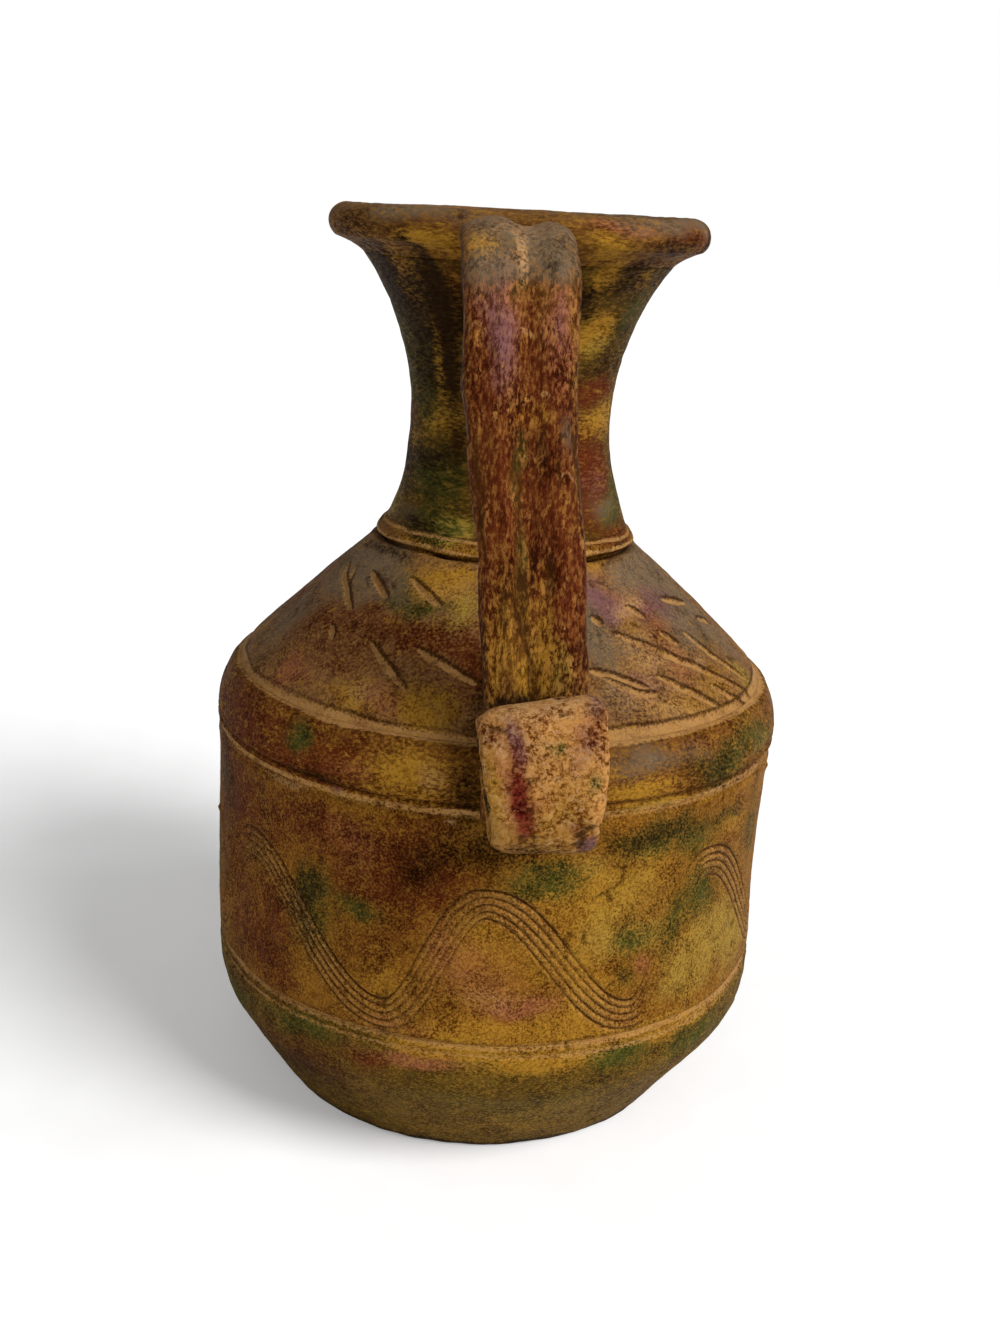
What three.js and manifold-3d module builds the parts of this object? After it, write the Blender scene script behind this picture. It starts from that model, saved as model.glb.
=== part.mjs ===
// A two-handled earthenware vase, in millimetres, +Z up, standing on z = 0 with its axis on Z.
// It is built from the potter's own pieces: a base disc, turned wall sections that seat on one
// another, applied rings over the seams, soft coils pressed into the seams inside, and two strap
// handles, each with a rolled scroll at its foot and wads of clay that lute it to the pot.
// Every piece is a separate solid. Flat seats touch, and other luted faces keep LUTE_GAP.

import * as THREE from "three";
import { mergeVertices } from "three/addons/utils/BufferGeometryUtils.js";
import Module from "manifold-3d";

const wasm = await Module();
wasm.setup();

// Heights of the sections
const FLOOR_T = 9; // base disc at the floor
const BASE_RIM_T = 5; // base disc where the wall stands on it
const TAPER_H = 32.5; // table to the corner where the taper would meet the belly's side
const LOWER_H = 46; // table to the lower seam
const BELLY_H = 66; // lower seam to the band's lower edge
const BAND_STRAIGHT_H = 5; // upright part of the shoulder band
const SHOULDER_RISE = 37.3; // band's upper edge to the foot of the neck
const NECK_H = 79; // foot of the neck to the seat of the lip
const NECK_WAIST_H = 35; // foot of the neck to its narrowest place
const NECK_RING_H = 5; // applied ring at the foot of the neck
const LIP_H = 13; // seat of the lip to its top

// Radii of the outside
const FOOT_R = 62;
const FOOT_EDGE_R = 2;
const BELLY_R = 83.3;
const BELLY_WAIST = 0.5; // how far the belly's side is drawn in at mid height
const CORNER_R = 24; // rounding between taper and belly
const BAND_PROUD = 0.5; // how far the band stands out of the belly
const BAND_BEND_R = 19.4; // rounding of the shoulder's edge
const BAND_BEND_DEG = 45; // slope of the shoulder where the band ends
const NECK_WAIST_R = 28.7;
const NECK_SWEEP_R = 73; // the neck's outline is one round sweep
const NECK_RING_PROUD = 1.4; // how far the ring stands out of the neck's sweep
const LIP_R = 53.2;
const LIP_ROUND_R = 5;
const LIP_UNDER_DEG = -45; // where the lip's rounding leaves its underside
const LIP_OVER_DEG = 105; // where it turns down into the mouth

// Walls, seats and seams
const WALL = 7; // lower wall, belly and shoulder
const NECK_T = 7;
const BAND_T = 3.2;
const NECK_RING_T = 3.4;
const LAP_H = 4; // height of the tongue inside a lapped seam
const LUTE_GAP = 0.3;
const GROOVE_W = 3.2; // tooled groove along a seam
const GROOVE_D = 1.1;
const COIL_W = 9; // soft coils pressed over the seams inside
const COIL_T = 2.6;

// Handles, drawn as the one on the -Y side
const STRAP_W_TOP = 28;
const STRAP_W_FOOT = 25.6;
const STRAP_T = 8.5;
const STRAP_VALLEY_W = 14; // finger groove along the outer face
const STRAP_VALLEY_D = 1.3;
const STRIP_SQUARENESS = 3.2; // 2 would make the strips' section an ellipse
const STRAP_TOP_DROP = 2; // lip's top to the strap's top
const STRAP_ROOT_DEPTH = 6; // how far the root runs in behind the lip's edge
const STRAP_REACH_R = 74.5; // middle of the strap, just below its bend
const STRAP_BEND_R = 16;
const STRAP_BOW = 0.6; // how far it bows outwards between its bend and its foot
const STRAP_TAIL = 1; // how far the foot reaches below the band's lower edge
const STRAP_BITE = 1; // depth of the saddle that fits the foot to the band
const HANDLE_DRIFT = -7.2; // how far aside the strap's top stands from its foot
const SCROLL_W = 30.5;
const SCROLL_H = 37.5;
const SCROLL_D = 29;
const SCROLL_STRIP_T = 6;
const SCROLL_TURNS = 1.55;
const SCROLL_TURN_GAP = 1.2; // between one turn of the strip and the next
const SCROLL_RISE = 24.4; // band's lower edge to the middle of the scroll
const SCROLL_BITE = 1.2; // depth of the seat that fits the scroll to the strap
const SCROLL_ASIDE = -1; // the scroll is pressed on a little to one side
const ROOT_WAD_W = 24;
const ROOT_WAD_H = 15; // below the seat of the lip
const ROOT_WAD_REACH = 3.7; // beyond the start of the strap's bend, under it
const FOOT_WAD_W = 24;
const FOOT_WAD_H = 15; // above the band's upper edge, behind the strap
const FOOT_WAD_REACH = 11; // up the shoulder's slope
const WAD_EDGE = 1.5; // thickness of a wad where it thins out

// Fineness of the facets
const TURN_STEPS = 40;
const ARC_STEPS = 4;
const NECK_STEPS = 12;
const STRAP_STEPS = 26;
const STRAP_SIDES = 16;
const SCROLL_STEPS_A_TURN = 20;
const SCROLL_SIDES = 12;

// Levels that follow from the sizes
const zBand = LOWER_H + BELLY_H;
const zBend = zBand + BAND_STRAIGHT_H;
const bandBend = THREE.MathUtils.degToRad(BAND_BEND_DEG);
const zShoulder = zBend + BAND_BEND_R * Math.sin(bandBend);
const zNeck = zShoulder + SHOULDER_RISE;
const zWaist = zNeck + NECK_WAIST_H;
const zLip = zNeck + NECK_H;
const zTop = zLip + LIP_H;

// Outlines shared by the pieces that meet there
const bandR = BELLY_R + BAND_PROUD;
const bendCentreR = bandR - BAND_BEND_R;
const bendPoint = (radius, angle) =>
  new THREE.Vector2(bendCentreR + radius * Math.cos(angle), zBend + radius * Math.sin(angle));
const sweepCentreR = NECK_WAIST_R + NECK_SWEEP_R;
const neckSweep = (radius, z) => sweepCentreR - Math.sqrt(radius ** 2 - (z - zWaist) ** 2);
const neckOuter = (z) => neckSweep(NECK_SWEEP_R, z);
const neckInner = (z) => neckSweep(NECK_SWEEP_R + NECK_T, z);
const taperAngle = Math.atan2(BELLY_R - FOOT_R, TAPER_H);
const taperR = (z) => FOOT_R + z * Math.tan(taperAngle);
const taperWall = WALL / Math.cos(taperAngle);
const innerBellyR = BELLY_R - WALL;
const neckFootR = neckOuter(zNeck);
const neckSeatR = neckOuter(zNeck + NECK_RING_H) + NECK_RING_PROUD - NECK_RING_T;
const shoulderBendWall = bandR - innerBellyR;
const strapMiddleZ = zTop - STRAP_TOP_DROP - STRAP_T / 2;
const strapBendZ = strapMiddleZ - STRAP_BEND_R;
const strapBendCentreR = STRAP_REACH_R - STRAP_BEND_R;
const strapBackR = bandR - STRAP_BITE;

const point = (r, z) => new THREE.Vector2(r, z);

// The turn from the taper to the upright side, rounded, as points from below to above.
function cornerPoints(inset) {
  const radius = CORNER_R - inset;
  const middle = point(BELLY_R - CORNER_R, TAPER_H + CORNER_R * Math.tan(taperAngle / 2));
  return Array.from({ length: ARC_STEPS + 1 }, (_, i) => {
    const angle = -taperAngle * (1 - i / ARC_STEPS);
    return point(middle.x + radius * Math.cos(angle), middle.y + radius * Math.sin(angle));
  });
}

// The rounded shoulder edge at one depth in the wall, from below to above.
function bendPoints(radius) {
  return Array.from({ length: ARC_STEPS + 1 }, (_, i) => bendPoint(radius, (bandBend * i) / ARC_STEPS));
}

// The shoulder's slope at one depth in the wall: it leaves the bend along its tangent and eases to the neck.
function slopePoints(inset, endR) {
  const start = bendPoint(BAND_BEND_R - inset, bandBend);
  const along = point(-Math.sin(bandBend), Math.cos(bandBend));
  const reach = start.distanceTo(point(endR, zNeck)) / 2;
  const control = start.clone().addScaledVector(along, reach);
  const curve = new THREE.QuadraticBezierCurve(start, control, point(endR, zNeck));
  return curve.getPoints(ARC_STEPS);
}

function sweepPoints(outline, from, to) {
  return Array.from({ length: NECK_STEPS + 1 }, (_, i) => {
    const z = from + ((to - from) * i) / NECK_STEPS;
    return point(outline(z), z);
  });
}

function arcPoints(r, z, radius, fromDeg, toDeg, steps = ARC_STEPS) {
  return Array.from({ length: steps + 1 }, (_, i) => {
    const angle = THREE.MathUtils.degToRad(fromDeg + ((toDeg - fromDeg) * i) / steps);
    return point(r + radius * Math.cos(angle), z + radius * Math.sin(angle));
  });
}

// A turned piece: the outline runs up the outside and down the inside, and is closed here.
function turned(outline) {
  const closed = [...outline, outline[0].clone()];
  return new THREE.LatheGeometry(closed, TURN_STEPS).rotateX(Math.PI / 2);
}

function solidOf(geometry) {
  const bare = geometry.clone();
  bare.deleteAttribute("normal");
  bare.deleteAttribute("uv");
  const merged = mergeVertices(bare, 1e-4);
  return new wasm.Manifold(
    new wasm.Mesh({
      numProp: 3,
      vertProperties: merged.attributes.position.array,
      triVerts: new Uint32Array(merged.index.array),
    }),
  );
}

function geometryOf(solid) {
  const mesh = solid.getMesh();
  const geometry = new THREE.BufferGeometry();
  geometry.setAttribute("position", new THREE.BufferAttribute(mesh.vertProperties, mesh.numProp));
  geometry.setIndex(new THREE.BufferAttribute(mesh.triVerts, 1));
  geometry.computeVertexNormals();
  return geometry;
}

// Turned pieces

function baseDisc() {
  const spigotR = taperR(BASE_RIM_T) - taperWall - LUTE_GAP;
  const edge = arcPoints(FOOT_R - FOOT_EDGE_R, FOOT_EDGE_R, FOOT_EDGE_R, -90, 0, 2);
  return turned([
    point(0, 0),
    ...edge,
    point(taperR(BASE_RIM_T), BASE_RIM_T),
    point(spigotR, BASE_RIM_T),
    point(spigotR, FLOOR_T),
    point(0, FLOOR_T),
  ]);
}

function lowerWall() {
  const lapR = BELLY_R - WALL / 2;
  return turned([
    point(taperR(BASE_RIM_T), BASE_RIM_T),
    ...cornerPoints(0),
    point(BELLY_R, LOWER_H - GROOVE_W / 2),
    point(BELLY_R - GROOVE_D, LOWER_H),
    point(lapR, LOWER_H),
    point(lapR, LOWER_H + LAP_H),
    point(innerBellyR, LOWER_H + LAP_H),
    ...cornerPoints(WALL).reverse(),
    point(taperR(BASE_RIM_T) - taperWall, BASE_RIM_T),
  ]);
}

function bellyWall() {
  const lapR = BELLY_R - WALL / 2 + LUTE_GAP;
  const lapTop = LOWER_H + LAP_H + LUTE_GAP;
  const low = LOWER_H + GROOVE_W / 2;
  const high = zBand - GROOVE_W / 2;
  const flank = new THREE.QuadraticBezierCurve(
    point(BELLY_R, low),
    point(BELLY_R - 2 * BELLY_WAIST, (low + high) / 2),
    point(BELLY_R, high),
  );
  return turned([
    point(lapR, LOWER_H),
    point(BELLY_R - GROOVE_D, LOWER_H),
    ...flank.getPoints(ARC_STEPS),
    point(BELLY_R - GROOVE_D, zBand),
    point(bandR - BAND_T, zBand),
    point(bandR - BAND_T, zBend),
    point(innerBellyR, zBend),
    point(innerBellyR, lapTop),
    point(lapR, lapTop),
  ]);
}

function shoulderBand() {
  const inside = BAND_BEND_R - BAND_T + LUTE_GAP;
  const chamfer = GROOVE_W / 2 / BAND_BEND_R;
  const outer = bendPoints(BAND_BEND_R).slice(0, -1);
  return turned([
    point(bandR - BAND_T + LUTE_GAP, zBand),
    point(BELLY_R - GROOVE_D, zBand),
    point(bandR, zBand + GROOVE_W / 2),
    ...outer,
    bendPoint(BAND_BEND_R, bandBend - chamfer),
    bendPoint(BAND_BEND_R - GROOVE_D, bandBend),
    bendPoint(inside, bandBend),
    ...bendPoints(inside).reverse().slice(1),
  ]);
}

function shoulderWall() {
  const step = LUTE_GAP / BAND_BEND_R;
  const under = bendPoints(BAND_BEND_R - BAND_T);
  const innerR = neckInner(zNeck);
  return turned([
    ...under.slice(0, -1),
    bendPoint(BAND_BEND_R - BAND_T, bandBend + step),
    bendPoint(BAND_BEND_R - GROOVE_D, bandBend + step),
    ...slopePoints(0, neckFootR).slice(1, -1),
    point(neckFootR - GROOVE_D, zNeck),
    point(innerR, zNeck),
    ...slopePoints(shoulderBendWall, innerR).reverse().slice(1),
    ...bendPoints(BAND_BEND_R - shoulderBendWall).reverse().slice(1),
  ]);
}

function neckRing() {
  const inner = neckSeatR + LUTE_GAP;
  const outer = neckSeatR + NECK_RING_T;
  return turned([
    point(inner, zNeck),
    point(neckFootR - GROOVE_D, zNeck),
    point(outer + GROOVE_D / 2, zNeck + GROOVE_W / 2),
    point(outer, zNeck + NECK_RING_H - GROOVE_D),
    point(neckOuter(zNeck + NECK_RING_H), zNeck + NECK_RING_H),
    point(inner, zNeck + NECK_RING_H),
  ]);
}

function neckWall() {
  const lapR = (neckOuter(zLip) + neckInner(zLip)) / 2;
  const foot = zNeck + NECK_RING_H;
  return turned([
    point(neckSeatR, zNeck),
    point(neckSeatR, foot),
    ...sweepPoints(neckOuter, foot, zLip),
    point(lapR, zLip),
    point(lapR, zLip - LAP_H),
    ...sweepPoints(neckInner, zNeck, zLip - LAP_H).reverse(),
  ]);
}

function lipOutline(grow, toDeg) {
  const middleR = LIP_R - LIP_ROUND_R;
  const middleZ = zTop - LIP_ROUND_R;
  return arcPoints(middleR, middleZ, LIP_ROUND_R + grow, LIP_UNDER_DEG, toDeg, 2 * ARC_STEPS);
}

function rimCoil() {
  const lapR = (neckOuter(zLip) + neckInner(zLip)) / 2 - LUTE_GAP;
  const lapFoot = zLip - LAP_H + LUTE_GAP;
  const innerTop = zTop - LIP_ROUND_R / 2;
  return turned([
    point(neckOuter(zLip), zLip),
    ...lipOutline(0, LIP_OVER_DEG),
    point(neckInner(innerTop), innerTop),
    point(neckInner(zLip), zLip),
    point(neckInner(lapFoot), lapFoot),
    point(lapR, lapFoot),
    point(lapR, zLip),
  ]);
}

function baseSeamCoil() {
  const wallR = (z) => taperR(z) - taperWall - LUTE_GAP / Math.cos(taperAngle);
  const toe = point(wallR(FLOOR_T) - COIL_W, FLOOR_T);
  const heel = point(wallR(FLOOR_T), FLOOR_T);
  const head = point(wallR(FLOOR_T + COIL_W), FLOOR_T + COIL_W);
  const crest = point((toe.x + head.x - COIL_T) / 2, (toe.y + head.y + COIL_T) / 2);
  return turned([toe, heel, head, crest]);
}

// A flattened coil on the inside of an upright or rounded wall
function wallSeamCoil(middleZ, wallR) {
  const levels = Array.from({ length: ARC_STEPS + 1 }, (_, i) => 1 - (2 * i) / ARC_STEPS);
  const heights = levels.map((u) => middleZ + (u * COIL_W) / 2);
  const back = heights.map((z) => point(wallR(z) - LUTE_GAP, z)).reverse();
  const front = heights.map((z, i) => point(wallR(z) - LUTE_GAP - COIL_T * Math.sqrt(1 - levels[i] ** 2), z));
  return turned([...back, ...front.slice(1, -1)]);
}

function innerShoulderR(z) {
  const radius = BAND_BEND_R - shoulderBendWall;
  return z <= zBend ? innerBellyR : bendCentreR + Math.sqrt(radius ** 2 - (z - zBend) ** 2);
}

// Handles

// The whole outside of the pot, grown by the lute gap, to fit the handles against.
function potOutside() {
  const outline = [
    point(0, BASE_RIM_T),
    point(BELLY_R + LUTE_GAP, BASE_RIM_T),
    point(BELLY_R + LUTE_GAP, zBand),
    point(bandR + LUTE_GAP, zBand),
    ...bendPoints(BAND_BEND_R + LUTE_GAP),
    ...slopePoints(-LUTE_GAP, neckFootR + LUTE_GAP).slice(1),
    ...sweepPoints((z) => neckSweep(NECK_SWEEP_R - LUTE_GAP, z), zNeck + NECK_RING_H, zLip),
    ...lipOutline(LUTE_GAP, 90),
    point(0, zTop + LUTE_GAP),
  ];
  return solidOf(turned(outline));
}

const side = (r, z) => new THREE.Vector3(0, -r, z);

function strapPath() {
  const footR = strapBackR + STRAP_T / 2;
  const bend = arcPoints(strapBendCentreR, strapBendZ, STRAP_BEND_R, 90, 0, 3).map((p) => side(p.x, p.y));
  return new THREE.CatmullRomCurve3([
    side(LIP_R - STRAP_ROOT_DEPTH, strapMiddleZ),
    ...bend,
    side((STRAP_REACH_R + footR) / 2 + STRAP_BOW, (strapBendZ + zShoulder) / 2),
    side(footR, zShoulder - BAND_STRAIGHT_H),
    side(footR, zBand - STRAP_TAIL),
  ]);
}

// How far the strap's middle stands from the axis at one height above its foot.
function strapMiddleR(z) {
  const upwards = strapPath().getPoints(STRAP_STEPS).reverse();
  const next = upwards.findIndex((p) => p.z > z);
  const [below, above] = [upwards[next - 1], upwards[next]];
  return -THREE.MathUtils.mapLinear(z, below.z, above.z, below.y, above.y);
}

// A rounded oblong section, grown on request, with a finger groove along its outer face.
function clayStrip(width, thickness, sides, valley, grow) {
  const bow = (value) => Math.sign(value) * Math.abs(value) ** (2 / STRIP_SQUARENESS);
  const points = Array.from({ length: sides }, (_, i) => {
    const angle = (2 * Math.PI * (i + 0.5)) / sides;
    const x = (width / 2 + grow) * bow(Math.cos(angle));
    const y = (thickness / 2 + grow) * bow(Math.sin(angle));
    const dip = y < 0 ? valley * Math.exp(-(((2 * x) / STRAP_VALLEY_W) ** 2)) : 0;
    return point(x, y + dip);
  });
  return new THREE.Shape(points);
}

function strap(grow) {
  const section = clayStrip(STRAP_W_TOP, STRAP_T, STRAP_SIDES, STRAP_VALLEY_D, grow);
  const geometry = new THREE.ExtrudeGeometry(section, { steps: STRAP_STEPS, extrudePath: strapPath() });
  const place = geometry.attributes.position;
  for (let i = 0; i < place.count; i++) {
    const drop = THREE.MathUtils.clamp((zTop - place.getZ(i)) / (zTop - zBand), 0, 1);
    place.setX(i, place.getX(i) * THREE.MathUtils.lerp(1, STRAP_W_FOOT / STRAP_W_TOP, drop));
  }
  return solidOf(drift(geometry));
}

function scroll() {
  const pitch = SCROLL_STRIP_T + SCROLL_TURN_GAP;
  const backR = strapBackR + STRAP_T - SCROLL_BITE;
  // The turns shrink as they go, so the first one starts larger than the finished roll is.
  const halfDepth = (SCROLL_D + pitch / 2) / 2;
  const halfHeight = (SCROLL_H + pitch) / 2;
  const middleZ = zBand + SCROLL_RISE - pitch / 4;
  const steps = Math.round(SCROLL_TURNS * SCROLL_STEPS_A_TURN);
  // The strip starts against the strap, runs down, round the front and over, and tucks inside itself.
  const places = Array.from({ length: steps + 1 }, (_, i) => {
    const turn = i / SCROLL_STEPS_A_TURN;
    const angle = Math.PI + 2 * Math.PI * turn;
    const shrink = SCROLL_STRIP_T / 2 + pitch * turn;
    return side(
      backR + halfDepth + (halfDepth - shrink) * Math.cos(angle),
      middleZ + (halfHeight - shrink) * Math.sin(angle),
    );
  });
  const section = clayStrip(SCROLL_W, SCROLL_STRIP_T, SCROLL_SIDES, 0, 0);
  const path = new THREE.CatmullRomCurve3(places);
  const roll = new THREE.ExtrudeGeometry(section, { steps, extrudePath: path });
  return solidOf(drift(roll.translate(SCROLL_ASIDE, 0, 0)));
}

// A wad of clay: an upright outline in the handle's own plane, given its width.
function wad(outline, width) {
  const settings = { depth: width, bevelEnabled: false, curveSegments: ARC_STEPS };
  const block = new THREE.ExtrudeGeometry(outline, settings);
  block.translate(0, 0, -width / 2);
  // The drawing's x is the distance from the axis, its y is the height.
  const stand = new THREE.Matrix4().makeBasis(
    new THREE.Vector3(0, -1, 0),
    new THREE.Vector3(0, 0, 1),
    new THREE.Vector3(-1, 0, 0),
  );
  return solidOf(drift(block.applyMatrix4(stand)));
}

// It fills the corner between the flare of the neck and the underside of the strap.
function rootWad() {
  const low = zLip - ROOT_WAD_H;
  const strapUnder = strapMiddleZ - STRAP_T / 2;
  const endR = strapBendCentreR + ROOT_WAD_REACH;
  const outline = new THREE.Shape();
  outline.moveTo(neckInner(low), low);
  outline.lineTo(neckOuter(low) + WAD_EDGE, low);
  outline.quadraticCurveTo(neckOuter(zLip), zLip - WAD_EDGE, endR, strapUnder - WAD_EDGE);
  outline.lineTo(endR, strapMiddleZ);
  outline.lineTo(neckInner(low), strapMiddleZ);
  return wad(outline, ROOT_WAD_W);
}

// It fills the corner between the shoulder's slope and the back of the strap.
function footWad() {
  const high = zShoulder + FOOT_WAD_H;
  const slopeEnd = bendPoint(BAND_BEND_R + WAD_EDGE, bandBend);
  slopeEnd.addScaledVector(point(-Math.sin(bandBend), Math.cos(bandBend)), FOOT_WAD_REACH);
  const outline = new THREE.Shape();
  outline.moveTo(bendCentreR, zBend);
  outline.lineTo(strapMiddleR(zBend), zBend);
  outline.lineTo(strapMiddleR(high), high);
  outline.lineTo(strapBackR - 2 * WAD_EDGE, high);
  outline.quadraticCurveTo(strapBackR - WAD_EDGE, zShoulder + 2 * WAD_EDGE, slopeEnd.x, slopeEnd.y);
  outline.lineTo(bendCentreR, slopeEnd.y);
  return wad(outline, FOOT_WAD_W);
}

// Above its scroll the whole handle drifts sideways, and it is upright again at its top bend.
function drift(geometry) {
  const place = geometry.attributes.position;
  for (let i = 0; i < place.count; i++) {
    const share = THREE.MathUtils.smoothstep(place.getZ(i), zShoulder, strapBendZ);
    place.setX(i, place.getX(i) + HANDLE_DRIFT * share);
  }
  return geometry;
}

// Clay colours: oxide-stained slips over an ochre ground
const clay = (color, roughness = 0.72) => new THREE.MeshStandardMaterial({ color, roughness, metalness: 0 });
const ochre = clay(0x8a6a2c);
const umber = clay(0x5a3a1e);
const olive = clay(0x55501f);
const oxblood = clay(0x6a2f1d);
const sandy = clay(0x9c7440, 0.85);
const bareClay = clay(0x8f5a38, 0.9);

const vase = new THREE.Group();

function add(parent, name, geometry, material) {
  const mesh = new THREE.Mesh(geometry, material);
  mesh.name = name;
  parent.add(mesh);
}

add(vase, "base_disc", baseDisc(), olive);
add(vase, "lower_wall", lowerWall(), olive);
add(vase, "belly_wall", bellyWall(), ochre);
add(vase, "shoulder_band", shoulderBand(), oxblood);
add(vase, "shoulder_wall", shoulderWall(), umber);
add(vase, "neck_ring", neckRing(), ochre);
add(vase, "neck_wall", neckWall(), olive);
add(vase, "rim_coil", rimCoil(), umber);
add(vase, "base_seam_coil", baseSeamCoil(), bareClay);
add(vase, "belly_seam_coil", wallSeamCoil(LOWER_H + LAP_H, () => innerBellyR), bareClay);
add(vase, "shoulder_seam_coil", wallSeamCoil(zBend, innerShoulderR), bareClay);

const pot = potOutside();
const strapRoom = strap(LUTE_GAP);
const pieces = [
  ["handle_strap", strap(0).subtract(pot), oxblood],
  ["handle_scroll", scroll().subtract(strapRoom).subtract(pot), sandy],
  ["handle_root_wad", rootWad().subtract(strapRoom).subtract(pot), umber],
  ["handle_foot_wad", footWad().subtract(strapRoom).subtract(pot), umber],
];
for (const [place, turn] of [["front", 0], ["back", Math.PI]]) {
  const handle = new THREE.Group();
  handle.rotation.z = turn;
  for (const [name, solid, material] of pieces) {
    add(handle, `${name}_${place}`, geometryOf(solid), material);
  }
  vase.add(handle);
}

export default vase;
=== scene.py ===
"""Dresses the two-handled vase: turned and combed walls, pulled straps, rolled scrolls, rubbed slips."""

import math
from types import SimpleNamespace

import bpy
import numpy as np
from bpy.props import FloatProperty, FloatVectorProperty, PointerProperty
from mathutils import Matrix, Vector


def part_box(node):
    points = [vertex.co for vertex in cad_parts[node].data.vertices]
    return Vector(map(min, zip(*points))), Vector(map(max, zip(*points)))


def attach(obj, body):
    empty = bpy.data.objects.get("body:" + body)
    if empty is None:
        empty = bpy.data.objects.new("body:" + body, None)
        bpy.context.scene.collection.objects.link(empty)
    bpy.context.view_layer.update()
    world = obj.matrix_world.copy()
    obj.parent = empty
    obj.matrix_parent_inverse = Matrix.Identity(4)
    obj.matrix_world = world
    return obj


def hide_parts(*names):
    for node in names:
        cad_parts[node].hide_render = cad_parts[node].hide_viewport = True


bl_info = {
    "name": "Two-handled earthenware vase",
    "version": (1, 0, 0),
    "blender": (4, 5, 0),
    "location": "3D View > Sidebar > Vase",
    "description": "Turns, combs and paints the pieces of a two-handled earthenware vase",
    "category": "Object",
}

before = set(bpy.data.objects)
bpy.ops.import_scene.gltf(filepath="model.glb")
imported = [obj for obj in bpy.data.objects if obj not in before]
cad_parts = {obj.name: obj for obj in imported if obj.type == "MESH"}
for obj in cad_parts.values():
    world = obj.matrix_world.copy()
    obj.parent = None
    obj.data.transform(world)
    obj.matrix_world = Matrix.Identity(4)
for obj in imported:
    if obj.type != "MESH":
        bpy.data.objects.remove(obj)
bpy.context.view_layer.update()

MM = 0.001
WELD = 0.002 * MM
WHITE = (1, 1, 1, 1)


def lowest(node):
    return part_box(node)[0].z / MM


def highest(node):
    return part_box(node)[1].z / MM


def widest(node):
    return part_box(node)[1].x / MM


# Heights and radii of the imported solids, in millimetres
WALL_FOOT = lowest("lower_wall")
FLOOR_TOP = highest("base_disc")
LOWER_SEAM = lowest("belly_wall")
LOWER_LAP = highest("lower_wall")
BAND_SEAM = lowest("shoulder_band")
BELLY_TOP = highest("belly_wall")
NECK_SEAM = lowest("neck_ring")
RING_TOP = highest("neck_ring")
LIP_SEAM = highest("neck_wall")
LIP_LAP = lowest("rim_coil")
TOP = highest("rim_coil")
BELLY_R = widest("lower_wall")
BAND_R = widest("shoulder_band")
LIP_R = widest("rim_coil")

WASHES = ("gold", "moss", "rose", "oxblood", "green", "slate", "violet", "crimson", "cream", "soot")
SUNKEN_WASHES = ("oxblood", "green", "slate", "soot")
HANDLE_SIDES = (("front", 1), ("back", -1))

# How the slips' specks are drawn out, as their scale along each axis
EVEN = (1, 1, 1)
ALONG_TURNING = (0.75, 0.75, 1.15)
ALONG_BRUSH = (0.45, 0.45, 1.3)
ALONG_STRAP = (1, 1, 0.45)
ALONG_HAIRS = (1, 1, 0.1)


def length(name, description, millimetres):
    """A length on the panel, given here in millimetres."""
    return FloatProperty(name=name, description=description, default=millimetres * MM, unit="LENGTH")


def slip_colour(name, description, value):
    """A colour on the panel."""
    return FloatVectorProperty(
        name=name, description=description, default=value, subtype="COLOR", min=0, max=1
    )


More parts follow.
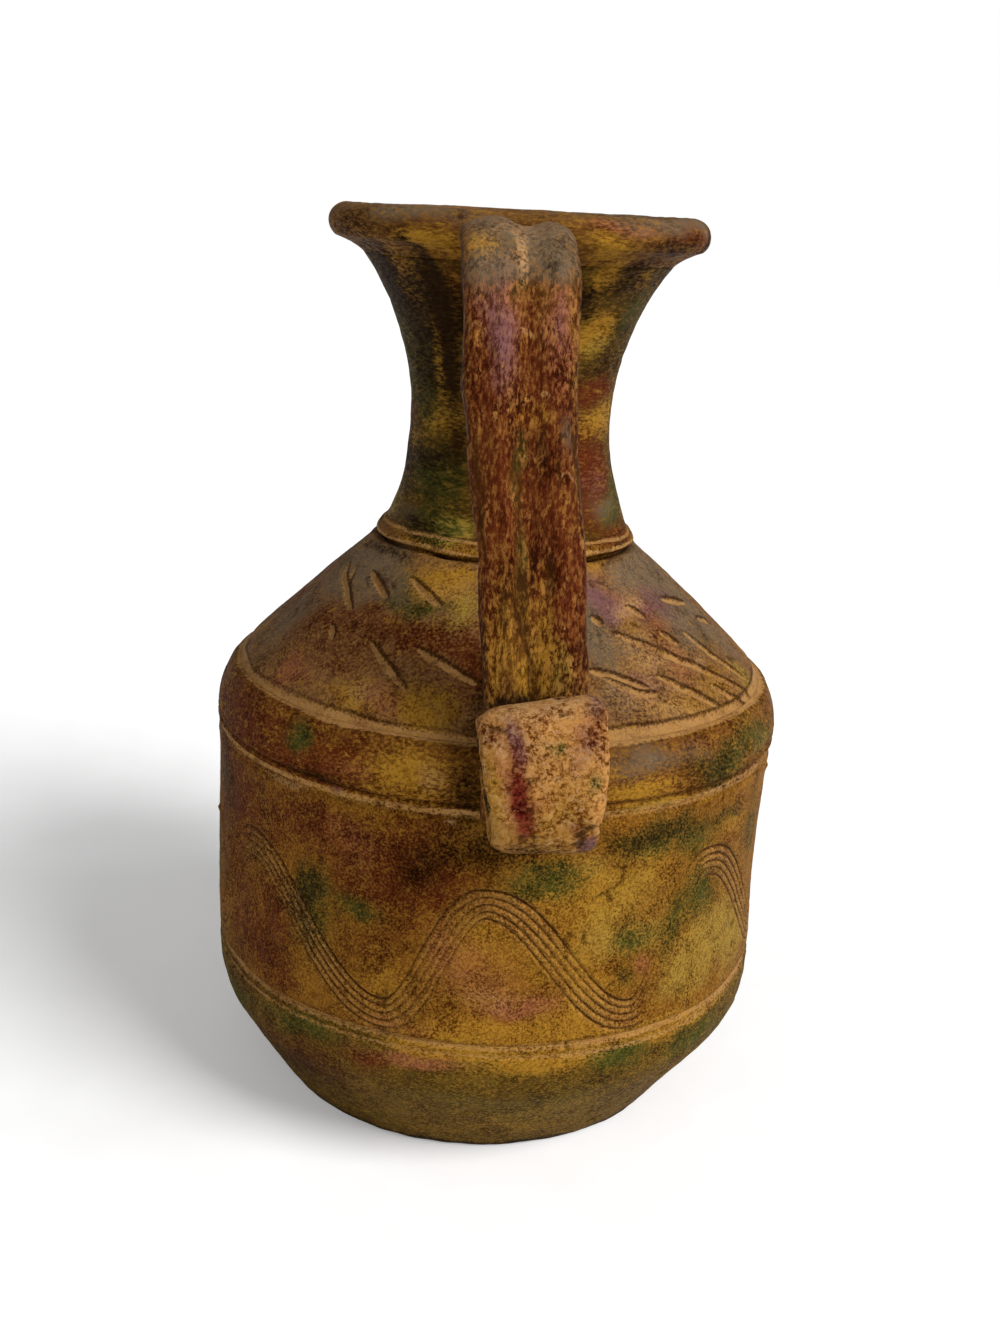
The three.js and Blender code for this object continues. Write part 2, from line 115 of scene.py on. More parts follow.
class VaseSizes(bpy.types.PropertyGroup):
    """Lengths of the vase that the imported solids' boxes don't give, and of its tool marks"""

    foot_radius: length("Foot radius", "Radius of the face it stands on", 62)
    foot_edge: length("Foot edge", "Rounding of the foot's edge", 2)
    taper_height: length("Taper height", "Height at which the taper would meet the belly's side", 32.5)
    corner_radius: length("Corner", "Rounding between taper and belly", 24)
    belly_waist: length("Belly waist", "How far the belly's side is drawn in at mid height", 0.5)
    band_straight: length("Band", "Upright part of the shoulder band", 5)
    shoulder_bend: length("Shoulder bend", "Rounding of the shoulder's edge", 19.4)
    neck_waist: length("Neck waist", "Radius of the neck where it is narrowest", 28.7)
    waist_rise: length("Waist rise", "Height of that place above the neck's foot", 35)
    neck_sweep: length("Neck sweep", "Radius of the neck's outline", 73)
    ring_proud: length("Ring", "How far the neck's ring stands out", 1.0)
    lip_rounding: length("Lip rounding", "Radius of the lip's edge", 5)
    wall: length("Wall", "Thickness of the built walls", 7)
    band_thickness: length("Band thickness", "Thickness of the applied band", 3.2)
    lute: length("Lute", "Gap of a luted seam inside the walls", 0.3)
    wobble: length("Wobble", "How far the hand-built wall strays from round", 0.5)
    grain: length("Grain", "Height of the skin's fine lumps", 0.13)
    seam_depth: length("Seam groove depth", "Depth of the tooled lines round the body", 1.0)
    comb_pitch: length("Comb pitch", "Distance between two teeth of the comb", 2.05)
    comb_depth: length("Comb depth", "Depth of the combed wave", 0.8)
    comb_tooth: length("Comb tooth", "Half width of a tooth's groove", 0.55)
    stroke_width: length("Stroke", "Half width of the cut strokes on the shoulder", 1.0)
    stroke_depth: length("Stroke depth", "Depth of those strokes", 0.85)
    strap_top_width: length("Strap width at the top", "Width of the strap below its bend", 28)
    strap_foot_width: length("Strap width at the foot", "Width of the strap above its scroll", 25.6)
    strap_thickness: length("Strap thickness", "Thickness of the strap", 8.5)
    strap_valley: length("Finger groove", "Depth of the groove along the strap", 1.7)
    strap_reach: length("Strap reach", "Distance of the strap from the axis below its bend", 74.5)
    strap_bend: length("Strap bend", "Radius of the strap's bend", 16)
    strap_bow: length("Strap bow", "How far it bows outwards between bend and foot", 0.6)
    strap_drop: length("Strap drop", "How far the strap's top lies below the lip's top", 2)
    strap_bite: length("Strap bite", "How far the strap's foot is let into the band", 1)
    handle_drift: length("Handle drift", "How far aside the strap's top stands from its foot", -7.2)
    scroll_width: length("Scroll width", "Length of the roll, across the handle", 29.4)
    scroll_height: length("Scroll height", "Height of the roll", 37.5)
    scroll_depth: length("Scroll depth", "Depth of the roll", 29)
    scroll_strip: length("Scroll strip", "Thickness of the rolled strip", 6)
    scroll_gap: length("Scroll gap", "Gap between the turns of the roll", 1.2)
    scroll_rise: length("Scroll rise", "Height of the roll's middle above the band's lower edge", 24.4)
    scroll_bite: length("Scroll bite", "How far the roll is let into the strap", 1.2)
    scroll_aside: length("Scroll aside", "How far the roll is pressed on to one side", -1)
    scroll_lean: length("Scroll lean", "How far the roll's top leans aside over its height", 2)
    scroll_tilt: length("Scroll tilt", "How much higher the roll's one end is pressed than the other", 5.4)
    scroll_narrowing: length("Scroll narrowing", "How much shorter the roll is at its bottom", 4)


class VaseColours(bpy.types.PropertyGroup):
    """Slips, oxide washes and bare clay"""

    belly_ground: slip_colour("Belly ground", "Slip under the belly's washes", (0.29, 0.12, 0.015))
    lower_ground: slip_colour("Lower ground", "Slip of the lower wall and foot", (0.15, 0.086, 0.013))
    band_ground: slip_colour("Band ground", "Slip of the shoulder band", (0.205, 0.078, 0.014))
    shoulder_ground: slip_colour("Shoulder ground", "Slip of the shoulder", (0.265, 0.126, 0.048))
    neck_ground: slip_colour("Neck ground", "Slip of the neck", (0.085, 0.044, 0.007))
    rim_ground: slip_colour("Rim ground", "Slip of the lip", (0.21, 0.088, 0.018))
    strap_ground: slip_colour("Strap ground", "Slip of the straps", (0.17, 0.065, 0.011))
    scroll_ground: slip_colour("Scroll ground", "Slip of the scrolls", (0.68, 0.32, 0.082))
    gold: slip_colour("Gold", "Yellow ochre, rubbed thin", (0.42, 0.21, 0.022))
    moss: slip_colour("Moss", "Yellow-green wash", (0.37, 0.24, 0.04))
    rose: slip_colour("Rose", "Dusty red wash", (0.33, 0.11, 0.05))
    oxblood: slip_colour("Oxblood", "Dark iron-red wash", (0.125, 0.024, 0.006))
    green: slip_colour("Green", "Dark copper-green wash", (0.062, 0.072, 0.012))
    slate: slip_colour("Slate", "Waxy grey film", (0.185, 0.132, 0.08))
    # Violet is painted sheen where it lies on the straps' ridges and on the scrolls' red stripe.
    violet: slip_colour("Violet", "Bluish red sheen", (0.21, 0.088, 0.092))
    crimson: slip_colour("Crimson", "Bright iron-red wash", (0.2, 0.016, 0.01))
    # Cream is also painted highlight where it lies along the top of the scrolls.
    cream: slip_colour("Cream", "Pale dust of clay", (0.55, 0.32, 0.14))
    soot: slip_colour("Soot", "Nearly black wash", (0.02, 0.008, 0.002))
    cut: slip_colour("Cut clay", "Tan clay bared by a tool", (0.47, 0.25, 0.085))
    flake: slip_colour("Flakes", "Orange clay where a strap is worn", (0.45, 0.2, 0.045))
    # The dark edge colour is partly painted shadow on the lips of cuts and lines, and partly wash gathered
    # there.
    brow: slip_colour("Dark edge", "Wash gathered in a cut's edge", (0.038, 0.012, 0.002))
    bare: slip_colour("Bare clay", "Fired clay without slip", (0.27, 0.115, 0.05))
    dark_clay: slip_colour("Dark clay", "Hollows of the bare inside", (0.17, 0.065, 0.026))
    brown_clay: slip_colour("Brown clay", "Clouds on the bare seam coils", (0.2, 0.075, 0.03))


def sizes():
    """The panel's lengths, in millimetres."""
    group = bpy.context.scene.vase_sizes
    return SimpleNamespace(**{name: getattr(group, name) / MM for name in VaseSizes.__annotations__})


def slip_colours():
    """The panel's colours, opaque."""
    group = bpy.context.scene.vase_colours
    return SimpleNamespace(**{name: (*getattr(group, name), 1.0) for name in VaseColours.__annotations__})


def band_top(s):
    """Height of the shoulder band's upper edge, where its bend reaches the slope."""
    return BAND_SEAM + s.band_straight + s.shoulder_bend * math.sin(math.pi / 4)


# How far the pot leans aside, since it was built by eye: height, shift
SWAY = (
    (0, -2), (36, 0), (75, -0.5), (105, 0), (130, 0.6),
    (148, 0.6), (165, 0.3), (180, 0.9), (200, 0), (260, 0),
)

# Lines round the body: height, half width, depth, how strongly the clay shows, dark edge (partly painted
# shadow on the groove's lips), dark floor
SEAM_LINES = (
    (45.7, 1.3, 0.9, 0.75, 0.7, 0.0),
    (42.9, 0.8, 0.5, 0.5, 0.6, 0.0),
    (112.7, 1.5, 0.7, 0.7, 0.45, 0.0),
    (110.7, 0.45, 0.4, 0.0, 0.0, 0.55),
    (115.3, 0.6, 0.8, 0.0, 0.0, 0.85),
    (117.6, 0.4, 0.35, 0.0, 0.0, 0.4),
    (131.0, 1.35, 1.0, 1.15, 0.9, 0.0),
    (168.3, 0.65, 1.6, 0.0, 0.0, 1.0),
    (169.8, 0.6, -0.3, 0.8, 0.0, 0.0),
    (172.3, 0.5, 0.5, 0.7, 0.5, 0.0),
)
STROKES_START = 131.0

# Crests and troughs of the combed wave, one after another round the belly: azimuth, height
WAVE = (
    (-58, 88), (-25, 52), (-6, 87.5), (23, 52), (41, 91), (74, 53),
    (93, 89), (126, 52), (145, 88), (177, 53), (198, 90), (231, 52), (250, 88), (282, 53),
)

# Strokes cut into the shoulder with a stick, as azimuth and height along each one
STROKES = (
    ((-72, 160.4), (-67, 156.3), (-55, 152.2)),
    ((-80, 160), (-74, 157.6), (-67, 156.3)),
    ((-60, 161), (-45, 157)),
    ((-40.5, 162), (-25, 157.2)),
    ((-41.5, 147.2), (-26, 139)),
    ((-28, 147.9), (-11, 142.2)),
    ((-58, 148), (-54, 145.5)),
    ((27, 152), (34, 149.2), (45, 143), (53, 138), (62, 130.8)),
    ((16, 145), (22, 143), (29, 140)),
    ((19, 143), (26, 139), (31, 138.3)),
    ((33.5, 142), (47.5, 132.2)),
    ((53.5, 148.8), (58, 142), (65, 134.5)),
    ((43, 150.6), (47, 146.7)),
    ((55.5, 156.5), (71, 152.9)),
    ((48.5, 137), (52.5, 133), (58.5, 128.8)),
    ((68, 149.2), (75, 146.6)),
    ((37, 157), (41.5, 154)),
    ((22, 156), (24, 154)),
)

# Drying cracks and pits, in the same way
CRACKS = (
    ((43, 116), (42.4, 113.5), (43.6, 111.5), (42.8, 108.5)),
    ((65.2, 139.6), (67, 139), (69.2, 138.4)),
    ((16.8, 97.6), (19.8, 96.2), (19.3, 92), (16.6, 89.8), (14.4, 88.8)),
    ((16.6, 89.8), (17.2, 87.2)),
    ((9.6, 78.4), (9.0, 75.4)),
    ((12.4, 79), (12.9, 75.6)),
    ((-10, 100.6), (-7, 101.2), (-4.6, 99.8)),
    ((-25.4, 47.2), (-24.6, 46.6)),
    ((8.2, 46.5), (7.8, 44.6)),
    ((10.2, 46.3), (10.7, 44.5)),
)

# Crumbs of clay left on the walls: azimuth, height, half width
CRUMBS = ((75, 104, 1.3), (-82, 85, 1.2), (-7, 99.6, 1.6), (-34, 113, 1.0), (36, 96, 0.9))

# Dabs of each wash on the walls, zone by zone: azimuth, height, half width, half height, strength
BELLY_DABS = {
    # Oxblood at (-20, 98) and (-12, 92) is partly painted shadow of the front scroll, laid over red slip.
    "oxblood": (
        (-68, 98, 26, 16, 0.85), (-40, 100, 20, 12, 0.7), (-20, 98, 12, 18, 1), (-58, 58, 20, 12, 0.9),
        (-66, 76, 18, 12, 0.6), (-30, 86, 12, 8, 0.6), (-48, 72, 9, 12, 0.6), (-28, 66, 12, 9, 0.45),
        (-12, 92, 8, 10, 0.8), (84, 96, 16, 12, 0.7), (-48, 52, 10, 5, 0.4), (-20, 75, 9, 8, 0.3),
    ),
    # Soot at (-17, 100) and (-4, 104) is painted shadow below and to the left of the front scroll.
    "soot": (
        (-17, 100, 9, 15, 0.45), (-4, 104, 12, 7, 0.7), (-72, 100, 14, 30, 0.35), (-40, 76, 8, 9, 0.62),
        (33, 105, 15, 5, 0.3), (48, 105, 9, 4, 0.3), (22, 103, 14, 5, 0.45),
    ),
    "green": (
        (-39, 76, 8, 12, 0.95), (-28, 80, 7, 5, 0.8), (3, 95, 9, 6, 0.9), (22, 75, 9, 8, 0.8),
        (38, 82, 10, 9, 0.85), (32, 74, 4, 12, 0.6), (34, 103, 15, 6, 0.7), (24, 100, 8, 4, 0.6),
        (48, 105, 8, 4, 0.5), (60, 92, 9, 14, 0.6), (20, 62, 5, 4, 0.5), (-55, 84, 8, 6, 0.35),
        (20, 104, 12, 4, 0.6), (96, 74, 12, 10, 0.7), (104, 100, 8, 7, 0.6), (39, 97, 8, 5, 0.45),
    ),
    "rose": (
        (0, 58, 10, 5, 0.8), (-6, 68, 12, 9, 0.45), (25, 65, 4, 4, 0.6), (-34, 92, 14, 6, 0.3),
        (-68, 64, 8, 8, 0.35), (-22, 50, 12, 4, 0.5), (101, 58, 10, 6, 0.5), (-12, 74, 6, 9, 0.4),
        (-32, 101, 13, 6, 0.6),
    ),
    "gold": (
        (-6, 76, 12, 7, 0.55), (13, 89, 13, 10, 0.95), (24, 93, 10, 6, 0.7), (-2, 50, 30, 4, 0.7),
        (12, 57, 10, 8, 0.8), (-40, 57, 10, 5, 0.4), (50, 101, 9, 6, 0.6), (-24, 60, 9, 6, 0.5),
        (-30, 97, 9, 3, 0.35), (-56, 101, 7, 4, 0.4), (8, 72, 10, 8, 0.5), (88, 58, 14, 8, 0.6),
        (-4, 61, 10, 6, 0.4), (30, 45.6, 30, 2.4, 1), (-13, 45.2, 15, 3.2, 0.9),
    ),
    "moss": (
        (46, 66, 17, 11, 1), (14, 77, 10, 9, 0.6), (36, 57, 10, 7, 0.7), (58, 58, 12, 10, 0.8),
        (9, 99, 6, 4, 0.5), (20, 90, 20, 14, 0.4), (79, 82, 10, 8, 0.5), (27, 75, 6, 6, 0.5),
    ),
    "cream": ((-4, 61, 10, 6, 0.3), (32, 45.8, 22, 1.4, 0.25)),
}
BAND_DABS = {
    "oxblood": (
        (-62, 123, 28, 9, 0.9), (-38, 124, 12, 6, 0.7), (-46, 118, 20, 2.5, 0.7), (-58, 118, 14, 5, 0.6),
        (-40, 115.5, 14, 2, 0.6), (92, 122, 18, 6, 0.6),
    ),
    "green": ((-46, 125, 4, 4, 0.9), (42, 121, 15, 6, 0.85), (60, 122, 12, 8, 0.6), (53, 124, 8, 5, 0.4)),
    "gold": (
        (-22, 122, 10, 7, 1), (-31, 121, 8, 5, 0.35), (-65, 122, 4, 3, 0.6), (22, 118, 8, 3, 0.6),
        (-38, 112.8, 20, 1.8, 0.8), (-66, 113, 10, 2, 0.7), (27, 112.8, 18, 1.8, 1),
        (20, 117.4, 9, 1.6, 0.8), (103, 119, 8, 3, 0.5),
    ),
    "rose": ((-34, 120, 9, 4, 0.45), (36, 127, 10, 2, 0.4), (60, 113, 8, 2, 0.6)),
    "cream": ((-19, 123, 7, 5, 0.4), (-46, 111, 8, 1.2, 0.6), (-14, 110.5, 2, 1, 0.7)),
    # Soot at (-12, 119) is painted shadow cast by the front scroll onto the band.
    "soot": ((-12, 119, 6, 9, 0.6), (-40, 116, 14, 1.5, 0.6), (38, 121, 20, 7, 0.42)),
    "slate": ((21, 124, 12, 5, 0.65), (34, 125, 12, 3, 0.3), (35, 126, 10, 3, 0.25), (78, 124, 10, 5, 0.6)),
    "moss": ((60, 120, 7, 4, 0.5), (24, 113, 10, 1.5, 0.5)),
    "violet": ((-35, 113.5, 3, 1.5, 0.8),),
}
SHOULDER_DABS = {
    "slate": (
        (-68, 163, 20, 6, 0.95), (-54, 158, 14, 5, 0.7), (-78, 146, 12, 12, 0.8), (20, 152, 5, 9, 1),
        (26, 158, 6, 5, 0.7), (67, 152, 12, 8, 0.8), (50, 163, 14, 4, 0.8), (64, 160, 15, 8, 1),
        (60, 150, 9, 5, 0.8), (52, 146, 7, 4, 0.5), (19, 139, 6, 6, 0.6), (70, 142, 8, 8, 0.6),
        (31, 148, 8, 4, 0.4),
    ),
    "green": (
        (-58, 164, 14, 4, 0.5), (-30, 158, 6, 3, 0.6), (-43, 160, 6, 4, 0.6), (-74, 134, 8, 4, 0.4),
        (62, 160, 12, 6, 0.3), (62, 144, 6, 4, 0.4), (-37, 156, 9, 3, 0.6), (97, 158, 8, 5, 0.6),
    ),
    # Soot at (-12, 140) is painted shadow to the left of the front strap's foot.
    "soot": (
        (-62, 166, 16, 2, 0.5), (-12, 140, 5, 9, 0.6), (60, 152, 16, 10, 0.25), (20, 150, 6, 10, 0.2),
        (-37, 156, 9, 3, 0.25),
    ),
    "moss": ((-19, 158, 5, 5, 0.8), (64, 135, 6, 4, 0.7)),
    "gold": (
        (-30, 163, 11, 4, 0.9), (-22, 165, 7, 2, 0.8), (-38, 136, 12, 4, 0.75), (-22, 135, 7, 4, 0.8),
        (30, 166, 9, 2.5, 0.8), (46, 159, 8, 3, 0.5), (34, 153, 6, 3, 0.45), (28, 145, 8, 3, 0.4),
        (30, 137, 9, 3, 0.6), (52, 137, 9, 4, 0.5), (40, 135, 9, 3, 0.5), (86, 136, 8, 4, 0.6),
        (98, 164, 8, 3, 0.6),
    ),
    "cream": (
        (-28, 162, 10, 4, 0.3), (-36, 137, 10, 3, 0.45), (32, 157, 5, 3, 0.4), (41, 157, 6, 3, 0.5),
        (30, 150, 7, 2, 0.3), (34, 134, 12, 2, 0.3), (38, 145, 10, 2, 0.5), (52, 142, 7, 2, 0.4),
        (31, 148, 8, 4, 0.3), (34, 138, 12, 4, 0.4), (21, 139, 8, 5, 0.4),
    ),
    # Oxblood at (-26, 149) and (-15, 143) is partly painted shadow of the front strap, laid over red slip.
    "oxblood": (
        (-46, 150, 22, 5, 0.55), (-26, 149, 12, 6, 0.75), (-15, 143, 7, 8, 0.9), (-64, 146, 14, 8, 0.4),
        (-46, 142, 14, 3, 0.5), (28, 159, 6, 4, 0.3), (40, 148, 8, 4, 0.55), (48, 153, 10, 4, 0.4),
        (92, 147, 14, 6, 0.6),
    ),
    "rose": (
        (-56, 137, 7, 4, 0.8), (-30, 136, 7, 4, 0.7), (32, 160, 10, 5, 0.7), (38, 165, 8, 3, 0.35),
        (47, 150, 6, 4, 0.5), (44, 142, 7, 4, 0.6), (84, 156, 8, 4, 0.5),
    ),
    "violet": ((28, 159, 7, 5, 0.95), (56, 154, 10, 6, 0.5), (44, 154, 9, 5, 0.5), (28, 140, 10, 5, 0.5)),
}
NECK_DABS = {
    # The soot strip beside the front strap, from about -41 to -30, is partly dark slip and partly painted
    # shadow of the strap; the soot at (21, 237) is painted shadow in the gap between strap and neck.
    "soot": (
        (-41, 241, 3.2, 11, 1), (-38, 218, 3.2, 9, 1), (-40, 229, 3, 6, 0.7), (-30, 234, 5, 12, 0.5),
        (-66, 242, 12, 10, 0.55), (-58, 234, 14, 16, 0.62), (-60, 216, 12, 12, 0.5), (-58, 194, 16, 4, 0.6),
        (-48, 185, 14, 5, 0.45), (-34, 198, 4, 8, 0.5), (-54, 175, 11, 4, 0.7), (42, 245, 12, 5, 0.6),
        (50, 219, 12, 4, 0.5), (21, 237, 4, 5, 0.8), (86, 190, 12, 6, 0.5),
    ),
    "oxblood": (
        (-33, 240, 4, 8, 0.6), (-42, 228, 8, 1.5, 0.6), (44, 212, 12, 5, 0.9), (50, 191, 12, 7, 0.75),
        (34, 194, 8, 8, 0.7), (38, 181, 8, 4, 0.8), (60, 175, 12, 3, 0.8), (6, 200, 20, 22, 0.6),
        (94, 206, 10, 6, 0.6),
    ),
    "gold": (
        (-32, 242, 3, 5, 0.4), (-53, 242, 3.4, 8, 0.9), (-46, 218, 3, 8, 0.8), (-51, 204, 12, 6, 0.5),
        (25, 244, 5, 5, 0.9), (33, 230, 7, 5, 0.9), (50, 244, 6, 3, 0.7), (46, 203, 9, 4, 0.8),
        (66, 205, 8, 8, 0.4), (84, 236, 6, 6, 0.6), (100, 196, 6, 5, 0.5),
    ),
    "rose": ((-53, 243, 3, 6, 0.4), (52, 190, 12, 5, 0.5)),
    "green": (
        (-64, 216, 12, 16, 0.7), (-50, 192, 14, 5, 0.7), (-48, 186, 12, 5, 0.8), (-44, 177, 10, 4, 0.7),
        (-52, 175, 11, 4, 0.9), (58, 234, 10, 10, 0.6), (58, 179, 8, 3, 0.5), (70, 186, 10, 12, 0.5),
        (92, 228, 10, 12, 0.6),
    ),
    "moss": ((-32, 176, 7, 3.6, 1), (38, 226, 6, 3, 0.6), (92, 178, 8, 5, 0.6)),
    "slate": ((-66, 176, 12, 4, 0.45), (54, 181, 12, 4, 0.5)),
    "violet": ((46, 187, 8, 5, 0.3),),
}
LIP_DABS = {
    "gold": (
        (-40, 170, 24, 2, 0.5), (34, 170, 9, 2, 0.9), (-32, 252, 12, 3, 0.9), (20, 252, 8, 3, 0.9),
        (84, 252, 10, 3, 0.5),
    ),
    "oxblood": (
        (50, 171, 14, 3, 0.75), (64, 256, 16, 5, 0.95), (50, 257, 20, 5, 0.5), (-34, 257, 18, 3, 0.35),
        (90, 256, 14, 4, 0.5),
    ),
    "soot": ((58, 171, 8, 2, 0.4), (-66, 255, 20, 4, 0.35), (72, 254, 8, 4, 0.5), (44, 253, 16, 3, 0.6)),
    "slate": ((-50, 260, 34, 4, 0.7), (40, 260, 30, 4, 0.7), (64, 258, 8, 3, 0.6)),
    "rose": ((22, 257, 12, 2, 0.6),),
}
LOWER_DABS = {
    "green": (
        (-42, 39, 16, 5, 0.8), (20, 38, 9, 5, 1), (40, 38, 14, 6, 0.8), (-66, 34, 16, 8, 0.7),
        (0, 26, 40, 6, 0.4), (60, 24, 16, 14, 0.6), (92, 37, 14, 6, 0.7),
    ),
    "rose": ((-18, 40, 12, 3, 0.85), (-30, 38, 8, 4, 0.35)),
    "oxblood": (
        (-28, 37, 10, 4, 0.7), (-62, 40, 12, 6, 0.4), (-46, 26, 26, 12, 0.6), (100, 30, 12, 6, 0.4),
    ),
    "gold": (
        (2, 40, 14, 3, 0.9), (30, 41, 6, 2, 0.5), (13, 41.5, 13, 3.5, 1), (30, 44.5, 28, 2.4, 1),
        (-13, 43.4, 15, 2, 0.9), (4, 12, 30, 5, 0.35), (84, 41, 10, 3, 0.6),
    ),
    "cream": ((13, 42, 11, 3, 0.35), (-8, 40.5, 9, 3, 0.2)),
    "soot": ((16, 30, 26, 4, 0.35), (-50, 20, 34, 14, 0.5), (0, 1, 90, 2, 0.7)),
    "moss": ((8, 22, 40, 12, 0.3),),
}
WALL_DABS = (BELLY_DABS, BAND_DABS, SHOULDER_DABS, NECK_DABS, LIP_DABS, LOWER_DABS)

# Dabs on the straps: millimetres across, height, half width, half height, strength
STRAP_DABS = {
    "slate": ((0, 257, 18, 8, 1), (-8, 246, 7, 4, 0.9), (5, 249, 8, 5, 0.9), (10, 210, 3, 6, 0.6)),
    "green": (
        (6, 252, 6, 4, 0.6), (-5, 251, 2.6, 6, 0.5), (-2, 241, 2, 5, 0.6), (-2.5, 202, 2, 9, 0.7),
        (-2, 178, 2, 12, 0.7),
    ),
    "cream": ((-1, 249, 1.6, 9, 0.7), (0, 257, 14, 4, 0.35)),
    "gold": (
        (-10, 251, 3.5, 4, 1), (-1, 249, 1.6, 9, 0.8), (-11, 233, 2, 5, 0.5), (0, 230, 2.4, 2.5, 0.8),
        (-1, 214, 4, 3, 0.9), (5, 214, 2, 2.5, 0.8), (11, 226, 1.5, 5, 0.5), (9, 196, 1.6, 8, 0.5),
        (-8, 194, 2, 12, 0.5), (-1, 186, 1.2, 16, 0.6), (3, 168, 2, 14, 0.75), (-7, 166, 2.4, 12, 0.6),
        (-11, 154, 3, 14, 0.6), (1, 152, 5, 9, 1), (-1.5, 171, 2.5, 8, 0.5),
    ),
    # Soot at (0, 144) is painted shadow in the gap under the scroll's top.
    "soot": (
        (5, 248, 4, 4, 0.35), (2.5, 207, 2.4, 8, 0.5), (2.5, 190, 1.6, 10, 0.35), (1, 176, 1, 18, 0.4),
        (11, 160, 3, 12, 0.42), (0, 144, 14, 3.5, 0.8), (-10, 206, 2, 8, 0.3),
    ),
    "oxblood": (
        (-11, 224, 4, 24, 0.95), (0, 226, 3, 14, 0.9), (7, 210, 8, 24, 0.85), (-6, 195, 9, 24, 0.9),
        (7, 186, 8, 24, 0.95), (10, 164, 4, 18, 0.9), (-11, 164, 4, 18, 0.45),
    ),
    "rose": ((8, 231, 6, 15, 1), (-6, 231, 4, 15, 0.8)),
    # The violet on the strap's ridges is a painted sheen.
    "violet": ((-7, 230, 3.4, 13, 0.85), (9, 236, 3.5, 9, 0.5)),
    "moss": ((6, 154, 3, 8, 0.7),),
}

# Dabs on the scrolls, in the same way, on the roll's outer turn
SCROLL_DABS = {
    "gold": (
        (4, 134, 9, 14, 0.4), (-13, 132, 2.2, 14, 1), (4, 129, 8, 7, 0.6), (0, 119, 13, 5, 0.9),
        (8, 127, 5, 5, 0.5),
    ),
    "crimson": ((-6.4, 132, 3.6, 9, 1), (-6, 123, 2.4, 6, 0.9), (7, 125, 5, 2.5, 0.5)),
    "oxblood": (
        (-6.8, 133, 1.8, 10, 0.9), (-6.8, 144, 2.2, 8, 0.8), (-13.5, 147, 1.5, 2.5, 0.9),
        (12, 152, 2, 4, 0.6), (12, 143, 2.6, 6, 0.8), (11, 123, 5, 4, 0.45), (2, 118, 14, 3, 0.5),
        (-12, 146, 2.6, 7, 0.4),
    ),
    # Soot at (0, 115.5) is painted shade on the roll's underside.
    "soot": ((-6.4, 131, 2.8, 9, 0.3), (-1, 145, 2, 1.5, 0.6), (0, 115.5, 16, 3, 0.45)),
    # Violet at (-6.4, 147) is a painted sheen on the red stripe.
    "violet": ((-6.4, 147, 3.2, 7, 0.7), (12, 153, 3, 4, 1), (9, 141, 4, 5, 0.45), (12, 121, 5, 4, 0.8)),
    "rose": ((-9.8, 136, 3, 10, 0.5), (10, 146, 4, 6, 0.6), (5, 121, 9, 4, 0.3), (-12, 146, 3, 8, 0.4)),
    "green": ((3, 144, 2.4, 2.4, 0.8), (11.5, 135, 2.4, 2.4, 0.7)),
    "slate": ((13, 119, 4, 4, 0.6),),
    # Cream at (2, 153) is a painted highlight along the roll's top.
    "cream": ((2, 153, 16, 4, 0.6), (8, 127, 5, 4, 0.35)),
}

# Curls of clay on the straps: millimetres across, height, half width
STRAP_CURLS = ((0.5, 231, 1.8), (-1.2, 214, 2.4), (5.5, 217, 1.6), (-10.5, 232, 1.7), (9.5, 199, 1.5))

# Lumps of the clay, and how the washes stray on it: strength, size in millimetres, seed
WOBBLE_LUMPS = ((0.6, 42, 1), (0.3, 15, 2))
GRAIN_LUMPS = ((1, 4.5, 3), (0.7, 2.2, 4))
STRAP_LUMPS = ((0.45, 13, 42), (0.24, 5, 43))
SCROLL_LUMPS = ((0.5, 9, 51), (0.3, 3.6, 52), (0.16, 1.8, 53))
STRAY_ACROSS = ((5, 16, 11), (2.5, 6, 12))
STRAY_UP = ((4, 13, 13), (2, 5, 14))

# Dabs smaller than this, in millimetres, stray less
STRAY_FULL = 6

# The comb's teeth from its middle one, and where its wave was smudged: azimuth and half width
COMB_TEETH = (-2, -1, 0, 1, 2)
SMUDGE = (31, 6)

# Sizes of cracks, crumbs and curls, in millimetres
CRACK_WIDTH = 0.8
CRACK_DEPTH = 0.4
CRUMB_HEIGHT = 0.8
CURL_HEIGHT = 0.45
CURL_WIDTH = 0.55

# How square the handles' sections are, where 2 is an ellipse: the strip's width and thickness, the roll
STRAP_SQUARENESS = 3.0
STRIP_SQUARENESS = (3.4, 2.6)
ROLL_SQUARENESS = 2.3

# The finger groove's half width, and the place and half width of the ridges beside it, in millimetres
VALLEY_WIDTH = 4.6
RIDGE_AWAY = 6.5
RIDGE_WIDTH = 3.4

# The wads: name, how far they are pressed inwards and upwards in millimetres, and the soot on them, painted
# shade in the joints between straps and pot
WADS = (("root", 2.0, 1.8, 0.6), ("foot", -1.5, -2.5, 0.3))
WAD_VOXEL = 0.8
WAD_SWELL = 1.3
WAD_PASSES = 90
WAD_WIDTH_LEFT = 0.82

# Points round the strips that handles are pulled and rolled from, and rows along them
STRAP_AROUND = 96
STRAP_ROWS = 230
SCROLL_AROUND = 88
SCROLL_ROWS = 190

# Rows over which the strips' ends are rounded, and over which the scroll is smeared onto the strap
STRAP_END_ROWS = 9
SCROLL_END_ROWS = 5
SCROLL_SMEAR_ROWS = 14

# Where the roll starts and ends, in turns, and between which heights the strap's streaks fade upwards
ROLL_TURNS = (0.03, 1.6)
STREAKS_FADE = (200, 226)

